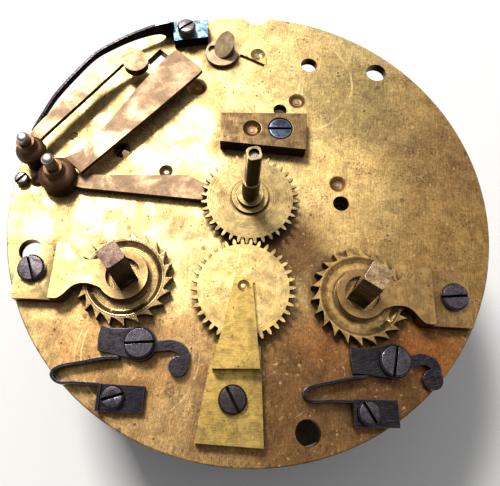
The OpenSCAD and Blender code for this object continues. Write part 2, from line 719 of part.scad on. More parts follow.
module right_barrel_bridge() {
    barrel_bridge(going_barrel_at, 1, right_bridge_screw);
}

module bridge_screws() {
    color(dark_steel) {
        screw(left_bridge_screw, face + bridge_foot_t, bridge_screw_r, 1.25,
            bridge_screw_shank, bridge_foot_t + 1.8, -66);
        screw(right_bridge_screw, face + bridge_foot_t, bridge_screw_r, 1.25,
            bridge_screw_shank, bridge_foot_t + 1.8, 6);
    }
}

module square_prism(side, h) {
    translate([-side / 2, -side / 2, 0]) cube([side, side, h]);
}

// A ratchet with saw teeth, a dished channel and a square hole
module ratchet(p, teeth, turn, square_turn) {
    color(brass) at(p, ratchet_z) difference() {
        linear_extrude(ratchet_t) polygon(ratchet_outline(teeth, ratchet_r,
            ratchet_r - ratchet_tooth, turn));
        translate([0, 0, ratchet_t]) rotate_extrude() polygon([[bridge_ring_r - 0.4, 1],
            [bridge_ring_r - 0.4, 0], [4.3, -ratchet_dish], [5.3, -ratchet_dish],
            [ratchet_r - ratchet_rim, 0], [ratchet_r - ratchet_rim, 1]]);
        translate([0, 0, -1]) rotate(square_turn) square_prism(winding_square + 2 * seat_gap,
            ratchet_t + 2);
    }
}

ratchet_tooth = 1.35;
ratchet_rim = 1.8;
left_square_turn = 40;
right_square_turn = 59;

module left_ratchet() {
    ratchet(strike_barrel_at, left_ratchet_teeth, 3, left_square_turn);
}

module right_ratchet() {
    ratchet(going_barrel_at, right_ratchet_teeth, 8, right_square_turn);
}

// A barrel arbor: journals, core, hook and winding square
module barrel_arbor(p, square_turn) {
    drum_z = barrel_z + barrel_tooth_t;
    color(dark_steel) {
        rod(p, journal_r, back_rear, face + face_gap);
        rod(p, barrel_arbor_r, barrel_z - 0.5, barrel_z + barrel_h + 0.5);
        at(p, drum_z + 6) cylinder(r = barrel_arbor_r + 0.5, h = 1.5, $fn = 6);
        intersection() {
            at(p, face) rotate(square_turn) square_prism(winding_square, winding_square_h);
            at(p, face) cylinder(r1 = winding_square_h + winding_square * 0.62,
                r2 = winding_square * 0.62, h = winding_square_h);
        }
    }
}

module strike_barrel_arbor() {
    barrel_arbor(strike_barrel_at, left_square_turn);
}

module going_barrel_arbor() {
    barrel_arbor(going_barrel_at, right_square_turn);
}

// A click's outline about its pivot: nose at the left, tail curling down at the right
click_nose_outline = concat(smooth([[-6.6, -1.4], [-6.75, 0.6], [-6.5, 2.75]], 3),
    smooth([[-5.6, 2.35], [-4.4, 2.2], [-2.6, 2.3], [0, click_boss_r - 0.1]], 3),
    [[0, -click_boss_r + 0.1], [-2.9, -2.05], [-4.6, -1.7]]);
click_tail_path = smooth([[1.5, -0.4], [3.6, -0.1], [5.4, 0], [6.95, -0.8], [7.2, -2.2],
    [6.4, -3.1]], 4);
click_tail_w = 1.7;

module click(p, turn, tail_reach) {
    color(dark_steel) at(p, click_z) rotate(turn) difference() {
        union() {
            cylinder(r = click_boss_r, h = click_t);
            linear_extrude(click_t) polygon(click_nose_outline);
            linear_extrude(click_t - 0.1) scale([tail_reach, 1])
                polygon(ribbon(click_tail_path, click_tail_w));
            translate([6.35 * tail_reach, -3.15, 0]) cylinder(r = click_ball_r, h = click_t - 0.1);
        }
        translate([0, 0, -1]) cylinder(r = click_shank + run_gap, h = click_t + 2);
    }
}

module left_click() {
    click(left_click_at, 0, 1);
}

module right_click() {
    click(right_click_at, 6.5, 0.9);
}

module click_screws() {
    color(dark_steel) {
        screw(left_click_at, click_z + click_t + run_gap, click_screw_r, click_head_h,
            click_shank, click_t + 1.9, 6);
        screw(right_click_at, click_z + click_t + run_gap, click_screw_r, click_head_h,
            click_shank, click_t + 1.9, 80);
    }
}

// A click spring about its screw: foot plate, bend at the far left and free end under the click
click_spring_path = smooth([[-2.3, 1.75], [-6, 1.8], [-8.6, 1.75], [-9.85, 2.9], [-8.7, 4.1],
    [-5, 5.0], [-2, 5.7], [0.2, 5.85]], 6);

module click_spring(p, turn, rise) {
    color(dark_steel) at(p, face) rotate(turn) difference() {
        union() {
            translate([-2.4, -2.1, 0]) cube([7.1, 4, 1.3]);
            translate([-2.4, -2.1, 0]) cube([click_ribbon_t, 4, click_ribbon_h]);
            translate([0, 0, 0.15]) linear_extrude(click_ribbon_h) scale([1, rise])
                polygon(ribbon(click_spring_path, click_ribbon_t));
        }
        translate([0, 0, -1]) cylinder(r = small_shank + seat_gap, h = 9);
    }
}

module left_click_spring() {
    click_spring(left_spring_screw, 0, 1);
}

module right_click_spring() {
    click_spring(right_spring_screw, 2, 0.89);
}

module click_spring_screws() {
    color(steel) {
        screw(left_spring_screw, face + 1.3, spring_screw_r, 1.1, small_shank, 2.9, 18);
        screw(right_spring_screw, face + 1.3, spring_screw_r, 1.1, small_shank, 2.9, -58);
    }
}

// A lever's turned hub, as a solid of revolution with rounded shoulders
module lever_hub(p, low_r, flange_r, flange_z, flange_h, collar_r, collar_z) {
    shoulder = [for (a = [0 : 15 : 90]) [collar_r + (flange_r - collar_r) * cos(a),
        flange_z + flange_h * (0.35 + 0.65 * sin(a))]];
    at(p, face) rotate_extrude() polygon(concat([[post_r + run_gap, face_gap],
        [low_r, face_gap], [low_r, flange_z], [flange_r, flange_z]], shoulder,
        [[collar_r, flange_z + flange_h + 0.3], [collar_r, collar_z],
        [post_r + run_gap, collar_z]]));
}

detent_arm_outline = concat(smooth([[-40.1, 8.1], [-40.0, 10.6], [-37.0, 15.4], [-32.8, 21.4],
    [-28.6, 25.9], [-25.0, 29.0]], 4), [[-23.3, 27.1]], smooth([[-25.6, 26.4], [-32.1, 17.4],
    [-37.9, 9.4], [-38.2, 8.0]], 3));
detent_disc_at = [-23.3, 27.1];

module detent_lever() {
    color(pale_brass) difference() {
        union() {
            lever_hub(detent_post_at, 2, 2.6, 3.6, 1.8, 1.55, 7.4);
            at([0, 0], face + detent_arm_z) linear_extrude(lever_t)
                polygon(detent_arm_outline);
            rod(detent_disc_at, detent_disc_r, face + detent_arm_z + lever_t + 0.1
                - detent_disc_t, face + detent_arm_z + lever_t + 0.1);
        }
        rod(detent_post_at, post_r + run_gap, face - 1, face + 20);
    }
}

blade_outline = [[-32.6, 5.0], [-30.1, 2.9], [-24.3, 9.6], [-18.3, 16.5], [-10.9, 25.3],
    [-10.3, 26.2], [-11.0, 27.1], [-14.3, 29.7], [-15.75, 30.8], [-17.25, 29.3], [-22.6, 21.0],
    [-26.8, 13.4], [-31.0, 7.2], [-33.6, 5.6]];
lifting_arm_outline = [[-33.5, 3.0], [-30.55, 3.3], [-22.0, 3.75], [-11.4, 4.3], [-8.4, 2.95],
    [-5.2, 1.6], [-5.0, 0.3], [-8.7, -0.4], [-30.1, 0.7], [-33.5, 1.6]];
warning_piece_at = [-16.4, 29.25];
warning_piece_w = 0.8;
warning_piece_drop = 3;

module lifting_lever() {
    color(pale_brass) difference() {
        union() {
            lever_hub(lifting_post_at, 3.25, 3.3, 2.2, 1.8, 1.6, 5.8);
            at([0, 0], face + blade_z) linear_extrude(lever_t) polygon(blade_outline);
            at([0, 0], face + lifting_arm_z) linear_extrude(lever_t)
                polygon(lifting_arm_outline);
            at(warning_piece_at, face - plate_t - warning_piece_drop) rotate(slant)
                translate([-warning_piece_w / 2, -warning_piece_w / 2, 0])
                cube([warning_piece_w, warning_piece_w, plate_t + warning_piece_drop + blade_z
                + 0.1]);
        }
        rod(lifting_post_at, post_r + run_gap, face - 1, face + 20);
    }
}

module lever_posts() {
    color(steel) for (p = [detent_post_at, lifting_post_at]) {
        rod(p, post_r * 0.8, front_rear + 0.2, face + 0.2);
        at(p, face) rotate_extrude() polygon([[0, 0], [post_r, 0], [post_r, post_h - 0.5],
            [post_r * 0.6, post_h - 0.05], [0, post_h]]);
    }
}

// The curved lever spring follows the rim and presses on the detent lever near its hub
lever_spring_path = smooth([[-16.9, 37.2], [-20.2, 36.1], [-23.0, 34.75], [-25.8, 33.2],
    [-28.15, 31.6], [-30.4, 29.95], [-31.9, 28.5], [-33.3, 26.65], [-34.6, 24.7],
    [-35.9, 22.75], [-37.15, 20.75], [-38.4, 18.4], [-40.4, 13.3], [-40.95, 11.7]], 3);
lever_spring_foot = [[-17.4, 38.6], [-16.6, 33.9], [-9.9, 35.3], [-10.2, 39.7]];
lever_spring_foot_t = 2.4;

// Side of the ribbon along its chord: an upright end at the foot, then an ever lower band
lever_spring_side = concat([[-0.6, 0.1], [-0.6, lever_ribbon_h]], smooth([[2, lever_ribbon_h - 0.05],
    [9, lever_ribbon_h - 0.35], [16, lever_ribbon_h - 0.8], [24, lever_ribbon_h - 1.25],
    [35.5, lever_ribbon_h - 2.4]], 4), smooth([[35.5, 0.9], [27, 1.4], [19, 1.95], [11, 2.1],
    [5.5, 1.95], [2.6, 1.3], [1.6, 0.1]], 4));

module lever_spring() {
    color(blue_steel) difference() {
        union() {
            at([0, 0], face) linear_extrude(lever_spring_foot_t) polygon(lever_spring_foot);
            intersection() {
                at([0, 0], face) linear_extrude(lever_ribbon_h + 1)
                    polygon(ribbon(lever_spring_path, lever_ribbon_t));
                at(lever_spring_path[0], face) rotate([90, 0, bearing([-16.9, 37.2],
                    [-40.95, 11.7])]) linear_extrude(40, center = true)
                    polygon(lever_spring_side);
            }
        }
        screw_hole(lever_spring_screw_at, small_shank, face - 1, face + 9);
    }
}

module small_screws() {
    color(steel) {
        screw(lever_spring_screw_at, face + lever_spring_foot_t, lever_spring_screw_r, 2.1,
            small_shank, lever_spring_foot_t + 1.7, 40);
        screw(rim_screw_at, face, rim_screw_r, 1.6, small_shank, 1.8, 50);
    }
}

// A round collar with a slant-cut stub and a small hole beside it
module stop_stud() {
    color(pale_brass) {
        union() {
            difference() {
                rod(stop_at, stop_collar_r, face, face + stop_collar_h);
                rod(stop_at + [-1.75, 0.55], 1.05, face + 0.3, face + 9);
            }
            rod(stop_at, stop_stub_r * 0.7, front_rear + 0.2, face + 0.2);
            difference() {
                rod(stop_at + [0.5, 0.3], stop_stub_r, face, face + stop_h);
                at(stop_at + [0.5, 0.3], face + stop_collar_h + 0.1) rotate([0, 0, 48])
                    translate([-stop_stub_r, 0, 0]) rotate([0, -atan2(stop_h - stop_collar_h,
                    2 * stop_stub_r), 0]) translate([-9, -5, 0]) cube([20, 10, 10]);
            }
        }
    }
}

module anchor_bush() {
    color(brass) difference() {
        rod(bush_at, bush_r, front_rear, face);
        pivot_hole(anchor_at, front_rear, face);
        oil_sink(anchor_at, 1.5, 0.7, face);
        at(bush_at, face - 0.7) rotate(-24.7) translate([-2.75, -0.38, 0])
            cube([5.5, 0.76, 2]);
    }
}

barrel_pitch_going = driving_r(going_barrel_at, intermediate_at, barrel_teeth,
    barrel_pinion_leaves);
barrel_pitch_strike = driving_r(strike_barrel_at, second_at, barrel_teeth,
    barrel_pinion_leaves);

// A barrel: tooth ring, floor and drum wall, open towards the front plate
module barrel(p, pitch_r, turn) {
    floor_z = barrel_z + drum_wall;
    cap_z = barrel_z + barrel_h - drum_wall - 0.2;
    color(brass) difference() {
        union() {
            at(p, barrel_z) linear_extrude(barrel_tooth_t) polygon(teeth_outline(barrel_teeth,
                pitch_r, turn, 0.9, 1.3, [0.42, 0.12, 0.42]));
            rod(p, drum_r, barrel_z, barrel_z + barrel_h);
        }
        rod(p, drum_r - drum_wall, floor_z, barrel_z + barrel_h + 1);
        rod(p, drum_r - drum_wall + 0.4, cap_z, cap_z + drum_wall);
        rod(p, barrel_arbor_r + run_gap, barrel_z - 1, floor_z + 1);
    }
}

// The cap snaps into the groove near the drum's mouth
module barrel_cap(p) {
    cap_z = barrel_z + barrel_h - drum_wall - 0.2;
    color(brass) difference() {
        rod(p, drum_r - drum_wall + 0.4 - seat_gap, cap_z + seat_gap, cap_z + drum_wall
            - seat_gap);
        rod(p, barrel_arbor_r + run_gap, cap_z - 1, cap_z + drum_wall + 1);
    }
}

module mainspring(p) {
    color(dark_steel) at(p, barrel_z + drum_wall + 0.4) linear_extrude(barrel_h
        - 2 * drum_wall - 1.2) polygon(spiral(barrel_arbor_r + 0.9 + mainspring_t,
        drum_r - drum_wall - seat_gap, mainspring_turns, mainspring_t));
}

module going_barrel() {
    barrel(going_barrel_at, barrel_pitch_going, bearing(going_barrel_at, intermediate_at));
}

module going_barrel_cap() {
    barrel_cap(going_barrel_at);
}

module going_mainspring() {
    mainspring(going_barrel_at);
}

module strike_barrel() {
    barrel(strike_barrel_at, barrel_pitch_strike, bearing(strike_barrel_at, second_at));
}

module strike_barrel_cap() {
    barrel_cap(strike_barrel_at);
}

module strike_mainspring() {
    mainspring(strike_barrel_at);
}

module intermediate_wheel() {
    color(brass) train_wheel(intermediate_at, intermediate_teeth, driving_r(intermediate_at,
        [0, 0], intermediate_teeth, centre_leaves), bearing(intermediate_at, [0, 0]),
        top_wheel_z, wheel_t, arbor_r + 0.6, 5, 2.6);
}

module intermediate_arbor() {
    color(steel) {
        arbor(intermediate_at);
        rod(intermediate_at, arbor_r + 0.6 - seat_gap, barrel_z, top_wheel_z + wheel_t);
        pinion(intermediate_at, barrel_pinion_leaves, driven_r(going_barrel_at,
            intermediate_at, barrel_teeth, barrel_pinion_leaves), bearing(intermediate_at,
            going_barrel_at), barrel_z - 0.4, barrel_z + barrel_tooth_t + 0.4);
    }
}

module centre_wheel() {
    color(brass) train_wheel([0, 0], centre_teeth, driving_r([0, 0], third_at, centre_teeth,
        third_leaves), bearing([0, 0], third_at), centre_wheel_z, wheel_t * 0.9,
        centre_arbor_r + 0.4, 4, 2.6);
}

module centre_arbor() {
    color(steel) {
        rod([0, 0], pivot_r * 2, back_rear + 0.4, back_front + 0.4);
        rod([0, 0], centre_arbor_r + 0.4 - seat_gap, back_front + 0.2, front_rear - 0.2);
        rod([0, 0], centre_arbor_r, front_rear - 0.4, face + cannon_h - 0.8);
        pinion([0, 0], centre_leaves, driven_r(intermediate_at, [0, 0], intermediate_teeth,
            centre_leaves), bearing([0, 0], intermediate_at), top_wheel_z - 0.6,
            top_wheel_z + wheel_t + 0.6);
    }
}

module third_wheel() {
    color(brass) train_wheel(third_at, third_teeth, driving_r(third_at, escape_at, third_teeth,
        escape_leaves), bearing(third_at, escape_at), third_wheel_z, wheel_t * 0.8,
        arbor_r, 4, 1.8);
}

module third_arbor() {
    color(steel) {
        rod(third_at, arbor_r - seat_gap, back_front + 0.2, face + 0.3);
        rod(third_at, pivot_r, back_rear + 0.5, face + third_cock_t - 0.8);
        pinion(third_at, third_leaves, driven_r([0, 0], third_at, centre_teeth, third_leaves),
            bearing(third_at, [0, 0]), centre_wheel_z - 0.3, centre_wheel_z + 1.9);
    }
}

module escape_wheel() {
    color(brass) at(escape_at, escape_wheel_z) {
        difference() {
            linear_extrude(wheel_t * 0.6) polygon(saw_outline(escape_teeth, escape_r,
                escape_r - 0.9, 0));
            translate([0, 0, -1]) cylinder(r = escape_r - 1.8, h = 4);
        }
        difference() {
            union() {
                cylinder(r = 1.5, h = wheel_t * 0.6);
                for (i = [0 : 3]) rotate(i * 90 + 10) translate([0.9, -0.45, 0])
                    cube([escape_r - 2.5, 0.9, wheel_t * 0.6]);
            }
            translate([0, 0, -1]) cylinder(r = arbor_r, h = 4);
        }
    }
}

module escape_arbor() {
    color(steel) {
        arbor(escape_at, arbor_r - seat_gap);
        pinion(escape_at, escape_leaves, driven_r(third_at, escape_at, third_teeth,
            escape_leaves), bearing(escape_at, third_at), third_wheel_z - 0.7,
            third_wheel_z + 1.5);
    }
}

// The anchor's two arms reach round the escape wheel, a pallet at the end of each
pallet_a = 45;
anchor_t = 2.2;

module anchor() {
    wheel_dir = bearing(anchor_at, escape_at);
    near = escape_r + pallet_room;
    tip = [norm(escape_at - anchor_at) - near * cos(pallet_a), near * sin(pallet_a)];
    color(steel) at(anchor_at, escape_wheel_z - 0.7) rotate(wheel_dir) difference() {
        union() {
            cylinder(r = 1.7, h = anchor_t);
            for (s = [-1, 1]) {
                linear_extrude(anchor_t) polygon(ribbon(smooth([[0.4, s * 0.6], [1.2, s * 3.4],
                    [tip[0] - 3.3, s * (tip[1] - 1)], [tip[0] - 0.7, s * (tip[1] + 0.7)]]), 1.2));
                translate([tip[0], s * tip[1], 0]) rotate(s * (180 - pallet_a))
                    translate([0, -0.7, 0]) cube([1.8, 1.4, anchor_t]);
            }
        }
        translate([0, 0, -1]) cylinder(r = arbor_r + 0.15, h = anchor_t + 2);
    }
}

anchor_clear_r = 2.4;
cock_bar_t = 1.8;
back_cock_y = 34.6;
back_cock_half_h = 3.9;
cock_foot_w = 6;
back_cock_screw_places = [for (s = [-1, 1]) [s * (back_cock_span / 2 - cock_foot_w / 2),
    back_cock_y]];

module anchor_arbor() {
    color(steel) {
        rod(anchor_at, arbor_r + 0.15 - seat_gap, cock_bar_t + 0.2, front_rear - 0.2);
        rod(anchor_at, pivot_r, 0.5, front_rear + plate_t - 0.6);
    }
}

// The crutch hangs from the anchor's arbor behind the back plate and ends in a fork
module crutch() {
    fork_y = anchor_at[1] - crutch_length;
    color(steel) difference() {
        union() {
            rod(anchor_at, 1.7, crutch_z - 1.2, crutch_z + 2);
            at([anchor_at[0] - 0.6, fork_y], crutch_z) cube([1.2, crutch_length - 1, 1]);
            for (s = [-1, 1]) at([anchor_at[0] - 0.4 + s * 1.4, fork_y - 4], crutch_z)
                cube([0.8, 4.6, 1]);
            at([anchor_at[0] - 1.8, fork_y], crutch_z) cube([3.6, 0.8, 1]);
        }
        rod(anchor_at, arbor_r + 0.15, 0, back_front);
    }
}

// The back cock: a bar on two feet, which carries the anchor's rear pivot
module back_cock() {
    color(brass) difference() {
        union() {
            translate([-back_cock_span / 2, back_cock_y - back_cock_half_h, 0])
                cube([back_cock_span, 2 * back_cock_half_h, cock_bar_t]);
            for (p = back_cock_screw_places) translate([p[0] - cock_foot_w / 2,
                back_cock_y - back_cock_half_h, 0]) cube([cock_foot_w, 2 * back_cock_half_h,
                back_rear]);
        }
        pivot_hole(anchor_at, 0, cock_bar_t);
        for (p = back_cock_screw_places) {
            screw_hole(p, small_shank, -1, back_rear + 1);
            rod(p, spring_screw_r + run_gap, -1, 1.4);
        }
    }
}

// Long screws of the back cock, with their heads sunk in its bar
module back_cock_screws() {
    color(dark_steel) for (p = back_cock_screw_places) at(p, 1.4) mirror([0, 0, 1])
        screw([0, 0], 0, spring_screw_r, 1.1, small_shank, back_rear + plate_t - 2, 30);
}

module second_wheel() {
    color(brass) train_wheel(second_at, second_teeth, driving_r(second_at, pin_wheel_at,
        second_teeth, pin_leaves), bearing(second_at, pin_wheel_at), top_wheel_z, wheel_t,
        arbor_r + 0.6, 5, 2.6);
}

// The second arbor goes through the back plate and carries the count wheel on a square
square_arbor_r = 1.3;
count_square = 1.8;

module second_arbor() {
    color(steel) {
        arbor(second_at);
        rod(second_at, arbor_r + 0.6 - seat_gap, barrel_z, top_wheel_z + wheel_t);
        rod(second_at, square_arbor_r, back_rear - 0.2, back_front + 2);
        at(second_at, count_wheel_z - 1) square_prism(count_square, 5);
        pinion(second_at, barrel_pinion_leaves, driven_r(strike_barrel_at, second_at,
            barrel_teeth, barrel_pinion_leaves), bearing(second_at, strike_barrel_at),
            barrel_z - 0.4, barrel_z + barrel_tooth_t + 0.4);
    }
}

// Notches of the count wheel: after the run of each hour from one to eleven
function notch_turn(hour) = (hour * (hour + 1) / 2 + hour) * 4;

module count_wheel() {
    color(brass) at(second_at, count_wheel_z) {
        difference() {
            cylinder(r = count_r, h = 1.1);
            translate([0, 0, -1]) cylinder(r = count_r - 3, h = 4);
            for (hour = [1 : 12]) rotate(notch_turn(hour)) translate([count_r - 1.6, -0.7, -1])
                cube([3, 1.4, 4]);
        }
        difference() {
            union() {
                cylinder(r = 2.4, h = 1.1);
                for (i = [0 : 3]) rotate(i * 90) translate([1.6, -0.7, 0])
                    cube([count_r - 4, 1.4, 1.1]);
            }
            translate([0, 0, -1]) square_prism(count_square + 2 * seat_gap, 4);
        }
    }
}

hammer_pin_ring = 8.05;
hammer_pin_r = 0.35;

module pin_wheel() {
    color(brass) train_wheel(pin_wheel_at, pin_teeth, driving_r(pin_wheel_at, locking_at,
        pin_teeth, locking_leaves), bearing(pin_wheel_at, locking_at), pin_wheel_z, wheel_t,
        arbor_r, 5, 1.8);
    color(steel) for (i = [0 : hammer_pins - 1]) rod(pin_wheel_at + polar(hammer_pin_ring,
        hammer_pin_turn + i * 360 / hammer_pins), hammer_pin_r, pin_wheel_z + 0.3,
        pin_wheel_z + 3.6);
}

hammer_pin_turn = bearing(pin_wheel_at, hammer_at) + 9;

module pin_wheel_arbor() {
    color(steel) {
        arbor(pin_wheel_at, arbor_r - seat_gap);
        pinion(pin_wheel_at, pin_leaves, driven_r(second_at, pin_wheel_at, second_teeth,
            pin_leaves), bearing(pin_wheel_at, second_at), top_wheel_z - 0.6,
            top_wheel_z + wheel_t + 0.6);
    }
}

module locking_wheel() {
    color(brass) train_wheel(locking_at, locking_teeth, driving_r(locking_at, warning_at,
        locking_teeth, warning_leaves), bearing(locking_at, warning_at), locking_wheel_z,
        wheel_t * 0.8, slim_r - 0.05, 4, 1.6);
    color(steel) {
        arbor(locking_at, slim_r);
        pinion(locking_at, locking_leaves, driven_r(pin_wheel_at, locking_at, pin_teeth,
            locking_leaves), bearing(locking_at, pin_wheel_at), pin_wheel_z - 0.5,
            pin_wheel_z + wheel_t + 0.5);
    }
}

slim_r = 0.5;

module warning_wheel() {
    color(brass) train_wheel(warning_at, warning_teeth, driving_r(warning_at, fly_at,
        warning_teeth, fly_leaves), bearing(warning_at, fly_at), warning_wheel_z,
        wheel_t * 0.8, slim_r - 0.05, 4, 1.6);
    color(steel) {
        arbor(warning_at, slim_r);
        rod(warning_at + polar(4.6, 200), 0.3, warning_wheel_z - 1.6, warning_wheel_z + 0.3);
        pinion(warning_at, warning_leaves, driven_r(locking_at, warning_at, locking_teeth,
            warning_leaves), bearing(warning_at, locking_at), locking_wheel_z - 0.6,
            locking_wheel_z + 1.4);
    }
}

module fly() {
    vane_z = back_front + 2;
    color(steel) {
        arbor(fly_at, slim_r);
        pinion(fly_at, fly_leaves, driven_r(warning_at, fly_at, warning_teeth, fly_leaves),
            bearing(fly_at, warning_at), warning_wheel_z - 0.6, warning_wheel_z + 1.4);
    }
    color(brass) {
        at(fly_at, vane_z) difference() {
            union() {
                cylinder(r = 1.2, h = fly_h);
                rotate(75) translate([-fly_reach, -0.15, 0]) cube([2 * fly_reach, 0.3, fly_h]);
            }
            translate([0, 0, -1]) cylinder(r = slim_r - 0.05, h = fly_h + 2);
        }
    }
}

// The hammer: arbor, tail among the pins, spring lug, and behind the plate a stem and a head
hammer_journal_r = 1.2;
hammer_tail = 3.1;
hammer_turn = -62;

module hammer() {
    tail_dir = bearing(hammer_at, pin_wheel_at);
    stem_end = hammer_at + polar(hammer_stem, hammer_turn);
    color(steel) {
        rod(hammer_at, 0.9, back_front + 0.2, front_rear - 0.2);
        rod(hammer_at, pivot_r, front_rear - 1, face - 0.6);
        rod(hammer_at, hammer_journal_r, hammer_rear_z - 0.4, back_front + 0.3);
        at(hammer_at, pin_wheel_z + 1.6) rotate(tail_dir) translate([0, -0.6, 0])
            cube([hammer_tail, 1.2, 1.5]);
        at(hammer_at, back_front + 2) rotate(20) translate([0, -0.5, 0]) cube([3, 1, 2]);
        at(hammer_at, hammer_rear_z) rotate(hammer_turn) translate([0, -0.6, -0.6])
            cube([hammer_stem, 1.2, 1.2]);
    }
    color(brass) at(stem_end, hammer_rear_z) rotate([0, 90, hammer_turn + 90])
        cylinder(r = hammer_head_r, h = 7, center = true);
}

hammer_spring_at = [-32.4, 4.6];
hammer_spring_path = smooth([[-33.9, 5.6], [-34.9, 6.0], [-35.6, 5.3], [-35.75, 4.3]], 4);

module hammer_spring() {
    color(steel) difference() {
        union() {
            at(hammer_spring_at, back_front) translate([-1.7, -1.7, 0]) cube([3.4, 3.4, 1]);
            at([0, 0], back_front) linear_extrude(4) polygon(ribbon(hammer_spring_path, 0.35));
        }
        screw_hole(hammer_spring_at, small_shank, 0, face);
    }
}

stand_foot_at = [0, -32.4];
stand_foot_h = 7;

// Foot of the bell's stand, with a threaded hole for the stand and two screws from inside
module bell_stand_foot() {
    color(brass) difference() {
        translate([stand_foot_at[0] - stand_foot_w / 2, stand_foot_at[1] - stand_foot_h / 2, 0])
            cube([stand_foot_w, stand_foot_h, back_rear]);
        rod(stand_foot_at, stand_hole_r, -1, 7);
    }
    color(dark_steel) for (s = [-1, 1]) rod(stand_foot_at + [0, s * 2.2], small_shank,
        back_rear - 0.02, back_front);
}

front_plate();
back_plate();
pillars();
pillar_pins();
third_wheel_cock();
third_cock_screw();
minute_wheel_cock();
minute_cock_screw();
cannon_wheel();
minute_wheel();
left_barrel_bridge();
right_barrel_bridge();
bridge_screws();
left_ratchet();
right_ratchet();
strike_barrel_arbor();
going_barrel_arbor();
left_click();
right_click();
click_screws();
left_click_spring();
right_click_spring();
click_spring_screws();
detent_lever();
lifting_lever();
lever_posts();
lever_spring();
small_screws();
stop_stud();
anchor_bush();
going_barrel();
going_barrel_cap();
going_mainspring();
strike_barrel();
strike_barrel_cap();
strike_mainspring();
intermediate_wheel();
intermediate_arbor();
centre_wheel();
centre_arbor();
third_wheel();
third_arbor();
escape_wheel();
escape_arbor();
anchor();
anchor_arbor();
crutch();
back_cock();
back_cock_screws();
second_wheel();
second_arbor();
pin_wheel();
pin_wheel_arbor();
locking_wheel();
warning_wheel();
fly();
count_wheel();
hammer();
hammer_spring();
bell_stand_foot();
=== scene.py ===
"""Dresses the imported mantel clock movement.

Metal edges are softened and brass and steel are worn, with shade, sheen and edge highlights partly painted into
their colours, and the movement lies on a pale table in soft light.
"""

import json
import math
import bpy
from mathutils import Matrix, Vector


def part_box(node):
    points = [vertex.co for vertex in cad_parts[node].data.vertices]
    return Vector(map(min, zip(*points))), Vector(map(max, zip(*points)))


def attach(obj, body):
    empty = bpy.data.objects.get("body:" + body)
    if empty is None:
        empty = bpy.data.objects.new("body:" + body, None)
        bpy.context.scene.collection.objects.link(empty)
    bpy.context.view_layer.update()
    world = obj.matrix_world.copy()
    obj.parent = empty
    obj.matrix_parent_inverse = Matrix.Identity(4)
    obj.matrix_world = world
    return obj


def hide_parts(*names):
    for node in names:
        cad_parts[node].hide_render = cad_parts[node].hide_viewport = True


bl_info = {
    "name": "Mantel clock movement",
    "version": (1, 0, 0),
    "blender": (4, 5, 0),
    "location": "View3D > Sidebar > Clock movement",
    "description": "Dresses a two-train mantel clock movement in worn brass and steel",
    "category": "Object",
}

import bmesh
import bpy
from mathutils import Euler, Vector

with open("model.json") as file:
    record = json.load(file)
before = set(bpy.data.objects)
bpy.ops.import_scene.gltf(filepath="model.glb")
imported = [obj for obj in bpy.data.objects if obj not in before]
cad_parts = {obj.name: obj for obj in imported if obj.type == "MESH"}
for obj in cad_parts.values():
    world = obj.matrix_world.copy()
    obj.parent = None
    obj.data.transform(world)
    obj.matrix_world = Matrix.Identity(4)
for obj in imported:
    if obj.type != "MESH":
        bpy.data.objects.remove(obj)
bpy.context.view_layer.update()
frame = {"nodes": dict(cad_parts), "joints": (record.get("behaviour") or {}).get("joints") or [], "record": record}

MM = 0.001
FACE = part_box("front_plate")[1].z
BODIES = {
    node: body
    for body, nodes in frame["record"]["behaviour"]["bodies"].items()
    for node in nodes
}

# Oil sinks in the front plate: the joint in the middle of each, and its radius in millimetres
SINKS = (
    ("intermediate_turn", 1.6),
    ("escape_turn", 1.65),
    ("second_turn", 1.3),
    ("hammer_swing", 1.4),
    ("pin_wheel_turn", 1.0),
    ("locking_turn", 1.0),
    ("warning_turn", 0.9),
    ("fly_turn", 2.0),
)

# Feet and blocks that stand on the front plate, round which the plate is darkened, partly as grime and partly as
# painted contact shade: two corners of each, in millimetres
FOOT_PLACES = (
    ((-6.1, 10.4), (10, 17.5)),
    ((-38.4, -19.8), (-31.8, -10.4)),
    ((30.6, -20.8), (37.0, -11.4)),
    ((-6.5, -40.0), (4.5, -28.5)),
    ((-22.2, -36.2), (-14.8, -31.8)),
    ((17.2, -36.4), (24.4, -32.2)),
    ((-17.3, 34.2), (-9.9, 39.6)),
    ((-9.6, 30.0), (-4.2, 35.4)),
    ((-41.0, 4.6), (-37.8, 8.4)),
    ((-36.6, 0.4), (-32.4, 4.6)),
)

# Painted shade on the plate under the wheels and ratchets, dark between their teeth: the joint, the radius in
# millimetres and the strength
WHEEL_SHADOWS = (
    ("centre_turn", 8.9, 0.8),
    ("minute_wheel_turn", 8.9, 0.75),
    ("strike_winding_turn", 8.5, 0.5),
    ("going_winding_turn", 8.6, 0.75),
)

# Bright turned scratches on the plate: middle, radius and width in millimetres
SCRATCH_ARCS = (
    ((-3.5, 27.5), 12.5, 0.35),
    ((-4.5, 27.0), 14.2, 0.2),
    ((8, 27), 11.5, 0.3),
    ((12.5, 33), 6.5, 0.25),
    ((-17, -27), 9.0, 0.2),
    ((-17, -27.5), 10.0, 0.15),
)
